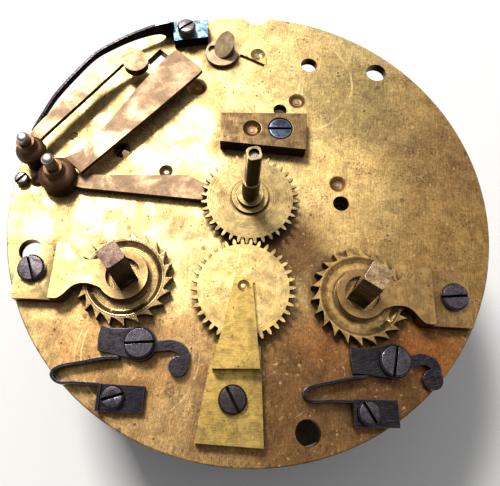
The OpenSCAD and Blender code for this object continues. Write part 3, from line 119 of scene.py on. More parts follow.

# Brown and rusty stains and pale patches on the plate, among them a painted shadow of the cannon wheel and painted
# sheen in the pale patches: middle and radius in millimetres, strength and colour
STAINS_SHADOW_AND_SHEEN = (
    ((26, -29), 6.0, 0.8, (0.2, 0.085, 0.03)),
    ((9, -30), 7.0, 0.85, (0.18, 0.075, 0.025)),
    ((11, -22), 5.0, 0.6, (0.2, 0.085, 0.03)),
    ((8, -38), 6.0, 0.6, (0.24, 0.11, 0.035)),
    ((31, -23), 5.0, 0.65, (0.42, 0.13, 0.03)),
    ((14, -24), 4.0, 0.55, (0.4, 0.15, 0.045)),
    ((17, -30), 3.0, 0.5, (0.36, 0.14, 0.04)),
    # painted shadow, cast by the cannon wheel to its lower right
    ((8.5, -8), 6.0, 0.9, (0.12, 0.052, 0.02)),
    ((3, -24), 6.0, 0.4, (0.3, 0.15, 0.05)),
    ((-9, -26), 6.0, 0.55, (0.34, 0.16, 0.055)),
    ((-20, -28), 7.0, 0.6, (0.42, 0.21, 0.07)),
    ((-27, -24), 6.0, 0.5, (0.5, 0.25, 0.08)),
    ((14, -36), 8.0, 0.55, (0.22, 0.12, 0.045)),
    ((-12, -7), 4.0, 0.5, (0.35, 0.26, 0.14)),
    ((-28, -3), 5.0, 0.35, (0.5, 0.3, 0.14)),
    ((36, 10), 7.0, 0.45, (0.28, 0.16, 0.075)),
    # painted sheen: these two pale patches carry the plate's lit zone further to the right
    ((18, 7), 6.0, 0.45, (0.92, 0.62, 0.22)),
    ((16, -4), 4.0, 0.3, (0.9, 0.6, 0.2)),
    ((21, -33), 6.0, 0.6, (0.15, 0.075, 0.03)),
    ((-3, 20), 5.0, 0.4, (0.42, 0.3, 0.14)),
    ((27, 15), 5.0, 0.35, (0.3, 0.18, 0.07)),
    ((-32, 24), 6.0, 0.5, (0.35, 0.27, 0.14)),
)

# Tones of each brass: clean, tarnished and stained; the stain tone, darkened, also paints shade on the walls
BRASS = {
    "block": ((0.25, 0.155, 0.065), (0.13, 0.078, 0.034), (0.06, 0.03, 0.014)),
    "minute_cock": ((0.68, 0.46, 0.12), (0.47, 0.305, 0.08), (0.26, 0.14, 0.04)),
    "motion_wheel": ((0.84, 0.61, 0.25), (0.62, 0.42, 0.15), (0.34, 0.18, 0.06)),
    # painted light: the left bridge's pale tones and the right bridge's dark tones are a lit and a shaded copy of
    # one brass
    "left_bridge": ((0.86, 0.66, 0.28), (0.66, 0.46, 0.17), (0.3, 0.14, 0.045)),
    "right_bridge": ((0.5, 0.31, 0.11), (0.38, 0.22, 0.075), (0.3, 0.14, 0.045)),
    "left_ratchet": ((0.5, 0.34, 0.14), (0.27, 0.155, 0.055), (0.14, 0.065, 0.025)),
    # the right ratchet's bright clean tone is partly a painted sheen in its dish
    "right_ratchet": ((0.95, 0.6, 0.2), (0.42, 0.22, 0.06), (0.14, 0.065, 0.025)),
    "stud": ((0.82, 0.66, 0.4), (0.62, 0.44, 0.22), (0.2, 0.1, 0.04)),
    "rear_plate": ((0.66, 0.48, 0.22), (0.5, 0.34, 0.14), (0.3, 0.17, 0.07)),
    "frame": ((0.64, 0.47, 0.21), (0.46, 0.32, 0.13), (0.28, 0.16, 0.07)),
    "barrel": ((0.7, 0.52, 0.24), (0.52, 0.36, 0.15), (0.3, 0.17, 0.07)),
    "train_wheel": ((0.5, 0.37, 0.17), (0.36, 0.25, 0.1), (0.2, 0.11, 0.05)),
}

# Tones of each steel: clean, oxidised and worn; the worn tone also paints highlights on the edges
STEEL = {
    "dark_screw": ((0.055, 0.045, 0.045), (0.035, 0.028, 0.028), (0.25, 0.2, 0.2)),
    "centre_arbor": ((0.35, 0.33, 0.32), (0.2, 0.18, 0.17), (0.6, 0.58, 0.55)),
    "winding": ((0.13, 0.085, 0.062), (0.06, 0.04, 0.033), (0.4, 0.32, 0.26)),
    "worn_winding": ((0.75, 0.52, 0.27), (0.3, 0.18, 0.09), (0.95, 0.85, 0.65)),
    "bridge_screw": ((0.13, 0.105, 0.12), (0.055, 0.042, 0.05), (0.55, 0.5, 0.53)),
    "click": ((0.044, 0.036, 0.044), (0.018, 0.014, 0.017), (0.3, 0.27, 0.31)),
    "click_spring": ((0.035, 0.028, 0.036), (0.018, 0.014, 0.018), (0.26, 0.24, 0.28)),
    "click_screw": ((0.12, 0.105, 0.13), (0.045, 0.037, 0.045), (0.5, 0.46, 0.5)),
    "post": ((0.6, 0.56, 0.52), (0.4, 0.34, 0.3), (0.9, 0.88, 0.85)),
    "lever_spring": ((0.016, 0.012, 0.016), (0.01, 0.007, 0.009), (0.2, 0.2, 0.24)),
    "small_screw": ((0.28, 0.24, 0.23), (0.12, 0.09, 0.09), (0.7, 0.66, 0.64)),
    "train": ((0.34, 0.33, 0.34), (0.2, 0.19, 0.2), (0.6, 0.6, 0.62)),
    "mainspring": ((0.12, 0.11, 0.12), (0.07, 0.06, 0.07), (0.4, 0.4, 0.44)),
}

# Other tones of the metals; the worn brass also paints highlights on edges, and two tones are the painted shade of
# gaps, grooves and screw slots
WORN_AND_GLINTING_BRASS = (0.9, 0.72, 0.38)
PAINTED_GROOVE_SHADE = (0.07, 0.03, 0.012)
SINK_BROWN = (0.3, 0.13, 0.04)
PAINTED_SLOT_SHADE = (0.008, 0.007, 0.007)
TEMPER_BLUES = ((0.16, 0.36, 0.5), (0.4, 0.55, 0.62))

# The foot of the lever spring that is tempered blue: two corners in millimetres
TEMPERED_FOOT = ((-20.0, 33.0), (-9.0, 41.0))

# Vertices closer than this are one, in metres
WELD = 2e-6
# Faces flatter than this to each other are one, in degrees
FLAT_ANGLE = 0.6
# Edges sharper than this are softened, in degrees
SHARP_ANGLE = 32
# Edges sharper than this stay crisp in the shading, in degrees
CRISP_ANGLE = 50
# How strongly the larger faces rule the shading, in per cent
EVEN_WEIGHT = 90
# Height range of a screw's slot under the top of its head, and its share of the head's reach
SLOT_TOP, SLOT_DEPTH, SLOT_REACH = 0.12 * MM, 1.4 * MM, 0.9

# The table's half width in metres, and its two pale tones
TABLE_HALF = 1.2
TABLE_TONES = ((0.98, 0.975, 0.97), (1.0, 0.995, 0.99))
# The room's colour and its level
ROOM = ((0.95, 0.97, 1.0, 1), 0.12)
# Lights: name, place and size in metres, power in watts and colour
LIGHTS = (
    ("window", (-0.17, 0.27, 0.5), (0.13, 0.15), 3.3, (1.0, 0.97, 0.93)),
    ("ceiling", (0.1, 0.3, 0.85), (1.6, 1.1), 2.55, (1.0, 0.98, 0.97)),
)
# The camera's place in millimetres from the middle of the plate's face, and its turn in degrees
CAMERA_PLACE = (-1.936, -39.163, 91.744)
CAMERA_TURN = (23.969, -1.016, 2.773)
# The camera's sensor in millimetres, the shift of its frame and its nearest distance in metres
CAMERA_SENSOR = 36
CAMERA_SHIFT = (0.02566, -0.09646)
CAMERA_NEAREST = 0.005


def joint_place(name):
    """Where a joint's axis stands on the plate, in millimetres."""
    pos = next(j["pos_m"] for j in frame["joints"] if j["name"] == name)
    return (pos[0] / MM, pos[1] / MM)


def toned(colour, factor):
    """A colour made lighter or darker by a factor."""
    return tuple(c * factor for c in colour)


# ---- finishes ----


class Finish:
    """A metal's node material, made of masks and colours in the movement's own coordinates."""

    def __init__(self, name, metallic=0.88):
        self.material = bpy.data.materials.get(name) or bpy.data.materials.new(name)
        self.material.use_nodes = True
        tree = self.material.node_tree
        tree.nodes.clear()
        self.nodes, self.links = tree.nodes, tree.links
        self.shader = self.nodes.new("ShaderNodeBsdfPrincipled")
        self.shader.inputs["Metallic"].default_value = metallic
        out = self.nodes.new("ShaderNodeOutputMaterial")
        self.links.new(self.shader.outputs[0], out.inputs[0])
        self.place = self.nodes.new("ShaderNodeTexCoord").outputs["Object"]

    def feed(self, socket, value):
        """Links a node's output to a socket, or sets the socket to a number or colour."""
        if isinstance(value, bpy.types.NodeSocket):
            self.links.new(value, socket)
        elif isinstance(value, (tuple, list)) and len(value) == 3 and socket.type == "RGBA":
            socket.default_value = (*value, 1)
        else:
            socket.default_value = value

    def maths(self, operation, a, b=0.5):
        """One sum, product or other operation on two numbers."""
        node = self.nodes.new("ShaderNodeMath")
        node.operation = operation
        self.feed(node.inputs[0], a)
        self.feed(node.inputs[1], b)
        return node.outputs[0]

    def moved(self, turn, stretch):
        """Coordinates turned about Z by degrees and stretched."""
        node = self.nodes.new("ShaderNodeMapping")
        node.vector_type = "TEXTURE"
        self.links.new(self.place, node.inputs["Vector"])
        node.inputs["Rotation"].default_value = (0, 0, math.radians(turn))
        node.inputs["Scale"].default_value = stretch
        return node.outputs[0]

    def noise(self, size, detail=2, rough=0.5, at=None, drift=0.0):
        """Cloudy noise with lumps about size millimetres across."""
        node = self.nodes.new("ShaderNodeTexNoise")
        node.inputs["Scale"].default_value = 1 / (size * MM)
        node.inputs["Detail"].default_value = detail
        node.inputs["Roughness"].default_value = rough
        node.inputs["Distortion"].default_value = drift
        self.links.new(at or self.place, node.inputs["Vector"])
        return node.outputs["Fac"]

    def between(self, value, low, high, start=0.0, end=1.0):
        """A smooth step of value from low to high."""
        node = self.nodes.new("ShaderNodeMapRange")
        node.interpolation_type = "SMOOTHSTEP"
        self.feed(node.inputs["Value"], value)
        node.inputs["From Min"].default_value = low
        node.inputs["From Max"].default_value = high
        node.inputs["To Min"].default_value = start
        node.inputs["To Max"].default_value = end
        return node.outputs[0]

    def blend(self, fac, a, b):
        """The colour a where fac is 0, turning to b where it is 1."""
        node = self.nodes.new("ShaderNodeMix")
        node.data_type = "RGBA"
        node.clamp_factor = True
        self.feed(node.inputs["Factor"], fac)
        self.feed(node.inputs[6], a)
        self.feed(node.inputs[7], b)
        return node.outputs[2]

    def seen_from(self, at):
        """Millimetres from an upright axis, seen from above, as a vector."""
        node = self.nodes.new("ShaderNodeMapping")
        node.vector_type = "POINT"
        self.links.new(self.place, node.inputs["Vector"])
        node.inputs["Scale"].default_value = (1 / MM, 1 / MM, 0)
        node.inputs["Location"].default_value = (-at[0], -at[1], 0)
        return node.outputs[0]

    def length_of(self, vector):
        """The length of a vector."""
        node = self.nodes.new("ShaderNodeVectorMath")
        node.operation = "LENGTH"
        self.links.new(vector, node.inputs[0])
        return node.outputs["Value"]

    def from_point(self, at):
        """Distance in millimetres from an upright axis."""
        return self.length_of(self.seen_from(at))

    def shade(self, colour, value):
        """A colour made lighter or darker by a factor."""
        node = self.nodes.new("ShaderNodeVectorMath")
        node.operation = "SCALE"
        self.feed(node.inputs[0], colour)
        self.feed(node.inputs["Scale"], value)
        return node.outputs[0]

    def from_box(self, low, high):
        """Distance in millimetres outside an upright box, seen from above."""
        last = self.seen_from(((low[0] + high[0]) / 2, (low[1] + high[1]) / 2))
        half = ((high[0] - low[0]) / 2, (high[1] - low[1]) / 2, 0)
        for operation, other in (("ABSOLUTE", None), ("SUBTRACT", half), ("MAXIMUM", (0, 0, 0))):
            node = self.nodes.new("ShaderNodeVectorMath")
            node.operation = operation
            self.links.new(last, node.inputs[0])
            if other:
                node.inputs[1].default_value = other
            last = node.outputs[0]
        return self.length_of(last)

    def pits(self, spacing, radius, share):
        """Round pits: a share of cells about spacing millimetres wide holds one each."""
        node = self.nodes.new("ShaderNodeTexVoronoi")
        node.inputs["Scale"].default_value = 1 / (spacing * MM)
        self.links.new(self.place, node.inputs["Vector"])
        split = self.nodes.new("ShaderNodeSeparateXYZ")
        self.links.new(node.outputs["Color"], split.inputs[0])
        reach = self.maths("MULTIPLY", self.maths("ADD", split.outputs["Y"], 0.5), radius / spacing)
        near = self.between(self.maths("SUBTRACT", node.outputs["Distance"], reach), 0.04, -0.04)
        return self.maths("MULTIPLY", near, self.maths("LESS_THAN", split.outputs["X"], share))

    def patch(self, at, radius, soft=0.6, ragged=None):
        """A round patch that fades out at its radius, ragged where noise is given."""
        reach = self.from_point(at)
        if ragged is not None:
            reach = self.maths("ADD", reach, self.maths("MULTIPLY", ragged, radius * 0.9))
        return self.between(reach, radius * (1.45 + soft * 0.3), radius * (1.45 - soft), 0, 1)

    def arc(self, centre, radius, width=0.25):
        """A thin ring, as a fine scratch or a turned line leaves."""
        off = self.maths("ABSOLUTE", self.maths("SUBTRACT", self.from_point(centre), radius))
        return self.between(off, width, width * 0.2)

    def along(self, axis):
        """Millimetres along one of the movement's axes."""
        split = self.nodes.new("ShaderNodeSeparateXYZ")
        self.links.new(self.place, split.inputs[0])
        return self.maths("MULTIPLY", split.outputs[axis], 1 / MM)

    def facing_up(self):
        """1 on faces that look up, 0 on walls."""
        geometry = self.nodes.new("ShaderNodeNewGeometry")
        split = self.nodes.new("ShaderNodeSeparateXYZ")
        self.links.new(geometry.outputs["Normal"], split.inputs[0])
        return split.outputs["Z"]

    def soft_edge_faces(self):
        """1 on the narrow faces that soften the edges."""
        node = self.nodes.new("ShaderNodeAttribute")
        node.attribute_name = "bevel_face"
        return node.outputs["Fac"]

    def deep(self):
        """1 on the floor and walls of screw slots."""
        node = self.nodes.new("ShaderNodeAttribute")
        node.attribute_name = "in_slot"
        return node.outputs["Fac"]

    def bump(self, height, strength, depth_mm):
        """Makes the surface uneven by a height from 0 to 1."""
        node = self.nodes.new("ShaderNodeBump")
        node.inputs["Strength"].default_value = strength
        node.inputs["Distance"].default_value = depth_mm * MM
        self.feed(node.inputs["Height"], height)
        self.links.new(node.outputs[0], self.shader.inputs["Normal"])

    def done(self, colour, roughness):
        """Sets the colour and the roughness, and gives back the material."""
        self.feed(self.shader.inputs["Base Color"], colour)
        self.feed(self.shader.inputs["Roughness"], roughness)
        return self.material


def brushed_marks(finish, turn, size=0.12, length=14):
    """Fine straight file marks along one direction."""
    return finish.noise(size, 3, 0.6, at=finish.moved(turn=turn, stretch=(length, 1, 1)))


def turned_marks(finish, centre, size=0.16):
    """Fine rings round an axis, as a lathe leaves."""
    reach = finish.from_point(centre)
    node = finish.nodes.new("ShaderNodeTexNoise")
    node.noise_dimensions = "1D"
    node.inputs["Scale"].default_value = 1 / size
    node.inputs["Detail"].default_value = 3
    finish.links.new(reach, node.inputs["W"])
    return node.outputs["Fac"]


def brass_finish(
    name,
    bright,
    dull,
    stain,
    marks=0,
    centre=None,
    wear_and_glint=WORN_AND_GLINTING_BRASS,
    rough=0.36,
    cloud=4.0,
    sinks=(),
    rings=(),
    hub=SINK_BROWN,
    contrast=1.0,
    metallic=0.88,
    inner_dark=False,
):
    """Handled brass: bright and dull clouds, brown specks, file or lathe marks, bright edges that are partly
    worn and partly painted highlight, and walls darkened with painted shade.

    File marks run at marks degrees, or lathe marks run round a centre. Sinks are brown hollows, each a
    place and a radius, and rings are painted shade in gaps and grooves, each a place, a radius and a width.
    inner_dark keeps the upper face of a plate dark, where little light gets between the plates.
    """
    f = Finish(name, metallic)
    clouds = f.between(f.noise(cloud, 5, 0.62, drift=0.4), 0.36, 0.66)
    grain = f.noise(0.3, 4, 0.65)
    colour = f.blend(clouds, bright, dull)
    colour = f.blend(f.between(grain, 0.42, 0.7, 0, 0.3 * contrast), colour, stain)
    handling = f.noise(1.6, 5, 0.62, drift=0.5)
    colour = f.shade(colour, f.between(handling, 0.34, 0.66, 1 - 0.3 * contrast, 1 + 0.18 * contrast))
    clusters = f.between(f.noise(3, 3, 0.6), 0.46, 0.6)
    specks = f.maths("MULTIPLY", f.between(f.noise(0.4, 3, 0.7), 0.56, 0.64), clusters)
    colour = f.blend(f.maths("MULTIPLY", specks, 0.6 * contrast), colour, toned(stain, 0.45))
    pits = f.maths("MULTIPLY", f.pits(1.1, 0.13, 0.4), 0.7 * contrast)
    colour = f.blend(pits, colour, toned(stain, 0.3))
    lines = turned_marks(f, centre) if centre else brushed_marks(f, marks)
    shine = tuple((a + b) / 2 for a, b in zip(bright, wear_and_glint))
    colour = f.blend(f.between(lines, 0.45, 0.7, 0, 0.3), colour, shine)
    colour = f.blend(f.between(lines, 0.5, 0.3, 0, 0.25), colour, stain)
    for at, radius in sinks:
        colour = f.blend(f.maths("MULTIPLY", f.patch(at, radius * 0.72, 0.5), 0.8), colour, hub)
    # painted shade in gaps and grooves
    for at, radius, width in rings:
        colour = f.blend(f.maths("MULTIPLY", f.arc(at, radius, width), 0.75), colour, PAINTED_GROOVE_SHADE)
    # bright edges: partly real wear, partly a painted highlight along the edges
    colour = f.blend(f.maths("MULTIPLY", f.soft_edge_faces(), 0.6), colour, wear_and_glint)
    # painted shade: walls are painted with the stain tone, darkened
    up = f.between(f.facing_up(), 0.0, 0.5, 0.0, 1.0)
    colour = f.blend(up, toned(stain, 0.3), colour)
    if inner_dark:
        colour = f.shade(colour, f.between(f.facing_up(), 0.5, 0.9, 1.0, 0.12))
    f.bump(f.maths("ADD", lines, f.maths("MULTIPLY", grain, 1.2)), 0.4, 0.03)
    gloss = f.between(f.maths("ADD", clouds, grain), 0.3, 1.4, rough - 0.08, rough + 0.14)
    return f.done(colour, gloss)


def steel_finish(
    name, bright, dull, wear_and_glint, marks=0, rough=0.3, rust=None, worn=0.7, tempered=None, wall=0.4
):
    """Steel with clouds of oxide, fine marks, and bright edges that are partly worn and partly painted highlight.

    tempered is the box, as two corners, inside which the top is pale blue. The upright walls get painted
    shade, darker the smaller wall is.
    """
    f = Finish(name)
    clouds = f.between(f.noise(1.6, 4, 0.6, drift=0.5), 0.36, 0.66)
    grain = f.noise(0.25, 3, 0.6)
    colour = f.blend(clouds, bright, dull)
    if rust:
        colour = f.blend(f.between(f.noise(0.8, 3, 0.6), 0.54, 0.66, 0, 0.8), colour, rust)
    colour = f.shade(colour, f.between(grain, 0.3, 0.7, 0.6, 1.35))
    lines = brushed_marks(f, marks, 0.08)
    colour = f.blend(f.between(lines, 0.5, 0.72, 0, 0.25), colour, wear_and_glint)
    # bright edges: partly real wear, partly a painted highlight along the edges
    colour = f.blend(f.maths("MULTIPLY", f.soft_edge_faces(), worn), colour, wear_and_glint)
    if tempered:
        inside = f.between(f.from_box(*tempered), 0.6, 0.0)
        top = f.maths("MULTIPLY", inside, f.between(f.facing_up(), 0.85, 0.97))
        blue = f.blend(f.between(f.noise(1.4, 3, 0.6), 0.4, 0.6), *TEMPER_BLUES)
        colour = f.blend(top, colour, blue)
    # painted shade: upright walls are painted darker
    upright = f.between(f.facing_up(), 0.08, 0.45, 1 - wall * 0.6, 0.0)
    colour = f.blend(upright, colour, toned(dull, wall))
    # painted shade: slot floors and walls are painted near black
    colour = f.blend(f.deep(), colour, PAINTED_SLOT_SHADE)
    f.bump(f.maths("ADD", lines, grain), 0.3, 0.02)
    gloss = f.between(f.maths("ADD", clouds, grain), 0.3, 1.4, rough - 0.06, rough + 0.16)
    return f.done(colour, gloss)


def plate_finish(name, bright, dull, stain):
    """The front plate: pale at the upper left, olive and brown at the right, partly tarnish and partly painted
    light.

    It has stains, scratched arcs, pits and brown oil sinks, and painted shade under the wheels, round the feet and
    on its walls.
    """
    f = Finish(name)
    ragged = f.maths("SUBTRACT", f.noise(7, 5, 0.65), 0.5)
    fine_rag = f.maths("SUBTRACT", f.noise(1.5, 4, 0.6), 0.5)
    clouds = f.between(f.noise(6, 6, 0.62, drift=0.6), 0.35, 0.65)
    fine = f.noise(0.5, 5, 0.7)
    grain = f.noise(0.18, 3, 0.65)
    # painted light: the plate turns from bright at the upper left, where the window's sheen falls, to dull at the
    # right, over its tarnish
    across = f.maths("ADD", f.along("X"), f.maths("MULTIPLY", f.along("Y"), -0.35))
    east = f.between(f.maths("ADD", across, f.maths("MULTIPLY", ragged, 30)), 4, 36)
    colour = f.blend(east, bright, dull)
    low = f.between(f.maths("ADD", f.along("Y"), f.maths("MULTIPLY", ragged, 16)), -16, -42)
    colour = f.blend(f.maths("MULTIPLY", low, 0.55), colour, (0.34, 0.145, 0.045))
    colour = f.blend(f.maths("MULTIPLY", clouds, 0.35), colour, stain)
    olive = f.maths("MULTIPLY", f.patch((19, 24), 9, 0.9, ragged), 0.68)
    colour = f.blend(olive, colour, (0.3, 0.22, 0.08))
    # stains, with a painted shadow and painted sheen among them
    for at, radius, strength, tint in STAINS_SHADOW_AND_SHEEN:
        colour = f.blend(f.maths("MULTIPLY", f.patch(at, radius, 0.9, ragged), strength), colour, tint)
    # painted shade on the plate under the rims of the wheels and ratchets
    for wheel, reach, strength in WHEEL_SHADOWS:
        off = f.maths("ADD", f.from_point(joint_place(wheel)), f.maths("MULTIPLY", fine_rag, 2.5))
        under = f.between(off, reach + 0.5, reach - 0.9, 0, strength)
        colour = f.blend(under, colour, (0.09, 0.042, 0.018))
    # darker round the feet and blocks: partly grime, partly painted contact shade
    for low_corner, high_corner in FOOT_PLACES:
        reach = f.maths("ADD", f.from_box(low_corner, high_corner), f.maths("MULTIPLY", fine_rag, 3))
        colour = f.blend(f.between(reach, 2.2, 0.0, 0, 0.6), colour, (0.22, 0.11, 0.045))
    colour = f.shade(colour, f.between(f.noise(3.2, 6, 0.62, drift=0.8), 0.34, 0.64, 0.76, 1.14))
    colour = f.shade(colour, f.between(fine, 0.34, 0.66, 0.74, 1.16))
    colour = f.shade(colour, f.between(grain, 0.32, 0.68, 0.8, 1.18))
    clusters = f.between(f.noise(4.5, 3, 0.6), 0.48, 0.62)
    specks = f.maths("MULTIPLY", f.between(f.noise(0.42, 3, 0.7), 0.55, 0.63), clusters)
    colour = f.blend(f.maths("MULTIPLY", specks, 0.8), colour, (0.11, 0.055, 0.022))
    colour = f.blend(f.maths("MULTIPLY", f.pits(1.5, 0.16, 0.5), 0.8), colour, (0.08, 0.04, 0.018))
    colour = f.blend(f.maths("MULTIPLY", f.pits(2.7, 0.34, 0.3), 0.7), colour, (0.14, 0.07, 0.03))
    pale = f.between(f.noise(0.8, 2, 0.5), 0.64, 0.74)
    colour = f.blend(f.maths("MULTIPLY", pale, 0.45), colour, bright)
    patchy = f.between(f.noise(5, 3, 0.6), 0.4, 0.6)
    for centre, radius, width in SCRATCH_ARCS:
        ring = f.maths("MULTIPLY", f.arc(centre, radius, width), patchy)
        colour = f.blend(f.maths("MULTIPLY", ring, 0.55), colour, (0.9, 0.7, 0.34))
    lines = brushed_marks(f, 84, 0.14, 20)
    colour = f.shade(colour, f.between(lines, 0.34, 0.66, 0.8, 1.14))
    scratches = f.between(brushed_marks(f, 35, 0.2, 40), 0.66, 0.72)
    colour = f.blend(f.maths("MULTIPLY", scratches, 0.3), colour, (0.9, 0.72, 0.38))
    for joint, radius in SINKS:
        hollow = f.patch(joint_place(joint), radius * 0.72, 0.5)
        colour = f.blend(f.maths("MULTIPLY", hollow, 0.8), colour, (0.2, 0.085, 0.028))
    colour = f.blend(f.maths("MULTIPLY", f.soft_edge_faces(), 0.35), colour, (0.5, 0.3, 0.13))
    # painted shade: walls and faces that do not look up are painted dark brown
    up = f.between(f.facing_up(), -0.1, 0.45, 0.0, 1.0)
    colour = f.blend(up, (0.1, 0.05, 0.02), colour)
    f.bump(f.maths("ADD", f.maths("ADD", lines, grain), f.maths("MULTIPLY", fine, 1.5)), 0.4, 0.03)
    return f.done(colour, f.between(f.maths("ADD", clouds, fine), 0.5, 1.5, 0.36, 0.55))


# ---- pieces ----


def softened(node, material, width=0.12, segments=2, slotted=False):
    """Stands for a node with its edges softened, as worn metal has them."""
    source = frame["nodes"][node]
    made = bmesh.new()
    made.from_mesh(source.data)
    bmesh.ops.remove_doubles(made, verts=made.verts, dist=WELD)
    flat = math.radians(FLAT_ANGLE)
    bmesh.ops.dissolve_limit(made, angle_limit=flat, verts=made.verts, edges=made.edges)
    in_slot = made.faces.layers.float.new("in_slot")
    if slotted:
        mark_slots(made, in_slot)
    sharp = [
        e
        for e in made.edges
        if len(e.link_faces) == 2 and e.calc_face_angle_signed(0) > math.radians(SHARP_ANGLE)
    ]
    worn = made.faces.layers.float.new("bevel_face")
    if sharp:
        cut = bmesh.ops.bevel(
            made,
            geom=sharp,
            offset=width * MM,
            segments=segments,
            profile=0.5,
            affect="EDGES",
            clamp_overlap=True,
        )
        for face in cut["faces"]:
            face[worn] = 1.0
            face[in_slot] = 0.0
    mesh = bpy.data.meshes.new(node + "_worn")
    made.to_mesh(mesh)
    made.free()
    mesh.shade_smooth()
    mesh.set_sharp_from_angle(angle=math.radians(CRISP_ANGLE))
    piece = bpy.data.objects.new(node + "_worn", mesh)
    bpy.context.scene.collection.objects.link(piece)
    even = piece.modifiers.new("even_faces", "WEIGHTED_NORMAL")
    even.keep_sharp = True
    even.weight = EVEN_WEIGHT
    mesh.materials.append(material)
    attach(piece, BODIES[node])
    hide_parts(node)


def mark_slots(made, layer):
    """Marks the floor and the walls of the slots in screw heads."""
    left = set(made.verts)
    while left:
        island, reached = [], [left.pop()]
        while reached:
            vert = reached.pop()
            island.append(vert)
            for edge in vert.link_edges:
                other = edge.other_vert(vert)
                if other in left:
                    left.remove(other)
                    reached.append(other)
        top = max(v.co.z for v in island)
        axis = sum((v.co for v in island), Vector()) / len(island)
        reach = max((v.co - axis).xy.length for v in island)
        for face in {f for v in island for f in v.link_faces}:
            spot = face.calc_center_median()
            under_top = SLOT_TOP < top - spot.z < SLOT_DEPTH
            inside = (spot - axis).xy.length < SLOT_REACH * reach
            if under_top and inside and face.normal.z > -0.5:
                face[layer] = 1.0


def painted(node, material):
    """Gives a node that keeps its own shape a finish."""
    thing = frame["nodes"][node]
    if not thing.material_slots:
        thing.data.materials.append(material)
    for slot in thing.material_slots:
        slot.material = material


# ---- sizes and colours that a user may change ----


def colour_property(name, description, default):
    """A colour that a user may pick."""
    return bpy.props.FloatVectorProperty(
        name=name, description=description, subtype="COLOR", size=3, min=0, max=1, default=default
    )


def length_property(name, description, default):
    """A length that a user may set."""
    return bpy.props.FloatProperty(
        name=name, description=description, unit="LENGTH", subtype="DISTANCE", min=0, default=default
    )


class MovementFinishes(bpy.types.PropertyGroup):
    """Colours of the plate, the levers and the blued screw"""

    # the bright and the dull plate brass also paint the fall of light across the plate: a painted sheen at the
    # upper left and a darker right
    plate_bright: colour_property(
        "Bright plate brass", "Colour of the plate where it is clean", (0.88, 0.64, 0.27)
    )
    plate_dull: colour_property(
        "Dull plate brass", "Colour of the plate where it is tarnished", (0.5, 0.3, 0.1)
    )
    plate_stain: colour_property(
        "Plate stain", "Colour of the brown specks in the plate", (0.26, 0.13, 0.045)
    )
    lever_bright: colour_property(
        "Lever brass", "Colour of the pale strike levers", (0.33, 0.215, 0.125)
    )
    screw_blue: colour_property(
        "Blued screw", "Colour of the heat-blued screw", (0.06, 0.065, 0.1)
    )


class MovementSizes(bpy.types.PropertyGroup):
    """Width of the worn edges, and the camera's lens"""

    edge_softening: length_property(
        "Edge softening", "Width of the worn edges of brass parts", 0.00014
    )
    lens: bpy.props.FloatProperty(
        name="Lens",
        description="Focal length of the camera, in millimetres",
        min=10,
        max=200,
        default=39.745,
    )


class CLOCK_OT_front_plate(bpy.types.Operator):
    """Front plate with its stains, scratches, painted shade and sheen, and softened rim"""

    bl_idname = "clock.front_plate"
    bl_label = "Front plate"

    def execute(self, context):
        tones = context.scene.movement_finishes
        finish = plate_finish(
            "plate_brass", tuple(tones.plate_bright), tuple(tones.plate_dull), tuple(tones.plate_stain)
        )
        softened("front_plate", finish, 0.12)
        softened("anchor_bush", finish, 0.08)
        return {"FINISHED"}


class CLOCK_OT_cocks(bpy.types.Operator):
    """The third wheel's cock, the minute wheel's cock and their screws"""

    bl_idname = "clock.cocks"
    bl_label = "Cocks"

    def execute(self, context):
        soft = context.scene.movement_sizes.edge_softening / MM
        block = brass_finish(
            "cock_brass",
            *BRASS["block"],
            marks=90,
            wear_and_glint=(0.6, 0.42, 0.17),
            cloud=2.2,
            contrast=1.3,
            sinks=((joint_place("third_turn"), 1.5),),
        )
        softened("third_wheel_cock", block, soft)
        yellow = brass_finish("minute_cock_brass", *BRASS["minute_cock"], marks=5, contrast=1.2)
        softened("minute_wheel_cock", yellow, soft)
        clean_blue = tuple(context.scene.movement_finishes.screw_blue)
        blue = steel_finish(
            "blued_steel", clean_blue, (0.05, 0.07, 0.14), (0.35, 0.4, 0.5), rough=0.25
        )
        softened("third_cock_screw", blue, 0.1, slotted=True)
        dark = steel_finish("dark_screw_steel", *STEEL["dark_screw"], rough=0.4)
        softened("minute_cock_screw", dark, 0.1, slotted=True)
        return {"FINISHED"}


class CLOCK_OT_motion_work(bpy.types.Operator):
    """Cannon wheel and minute wheel"""

    bl_idname = "clock.motion_work"
    bl_label = "Motion work"

    def execute(self, context):
        # painted shade in the gap round the cannon wheel's collar
        collar_gap_shade = (joint_place("centre_turn"), 3.35, 0.3)
        for node, joint, pale, rings in (
            ("cannon_wheel", "centre_turn", 0.52, (collar_gap_shade,)),
            ("minute_wheel", "minute_wheel_turn", 1.0, ()),
        ):
            finish = brass_finish(
                node + "_brass",
                *(toned(tone, pale) for tone in BRASS["motion_wheel"]),
                centre=joint_place(joint),
                cloud=3.5,
                contrast=1.3,
                rings=rings,
            )
            softened(node, finish, 0.07)
        painted("centre_arbor", steel_finish("arbor_steel", *STEEL["centre_arbor"]))
        return {"FINISHED"}


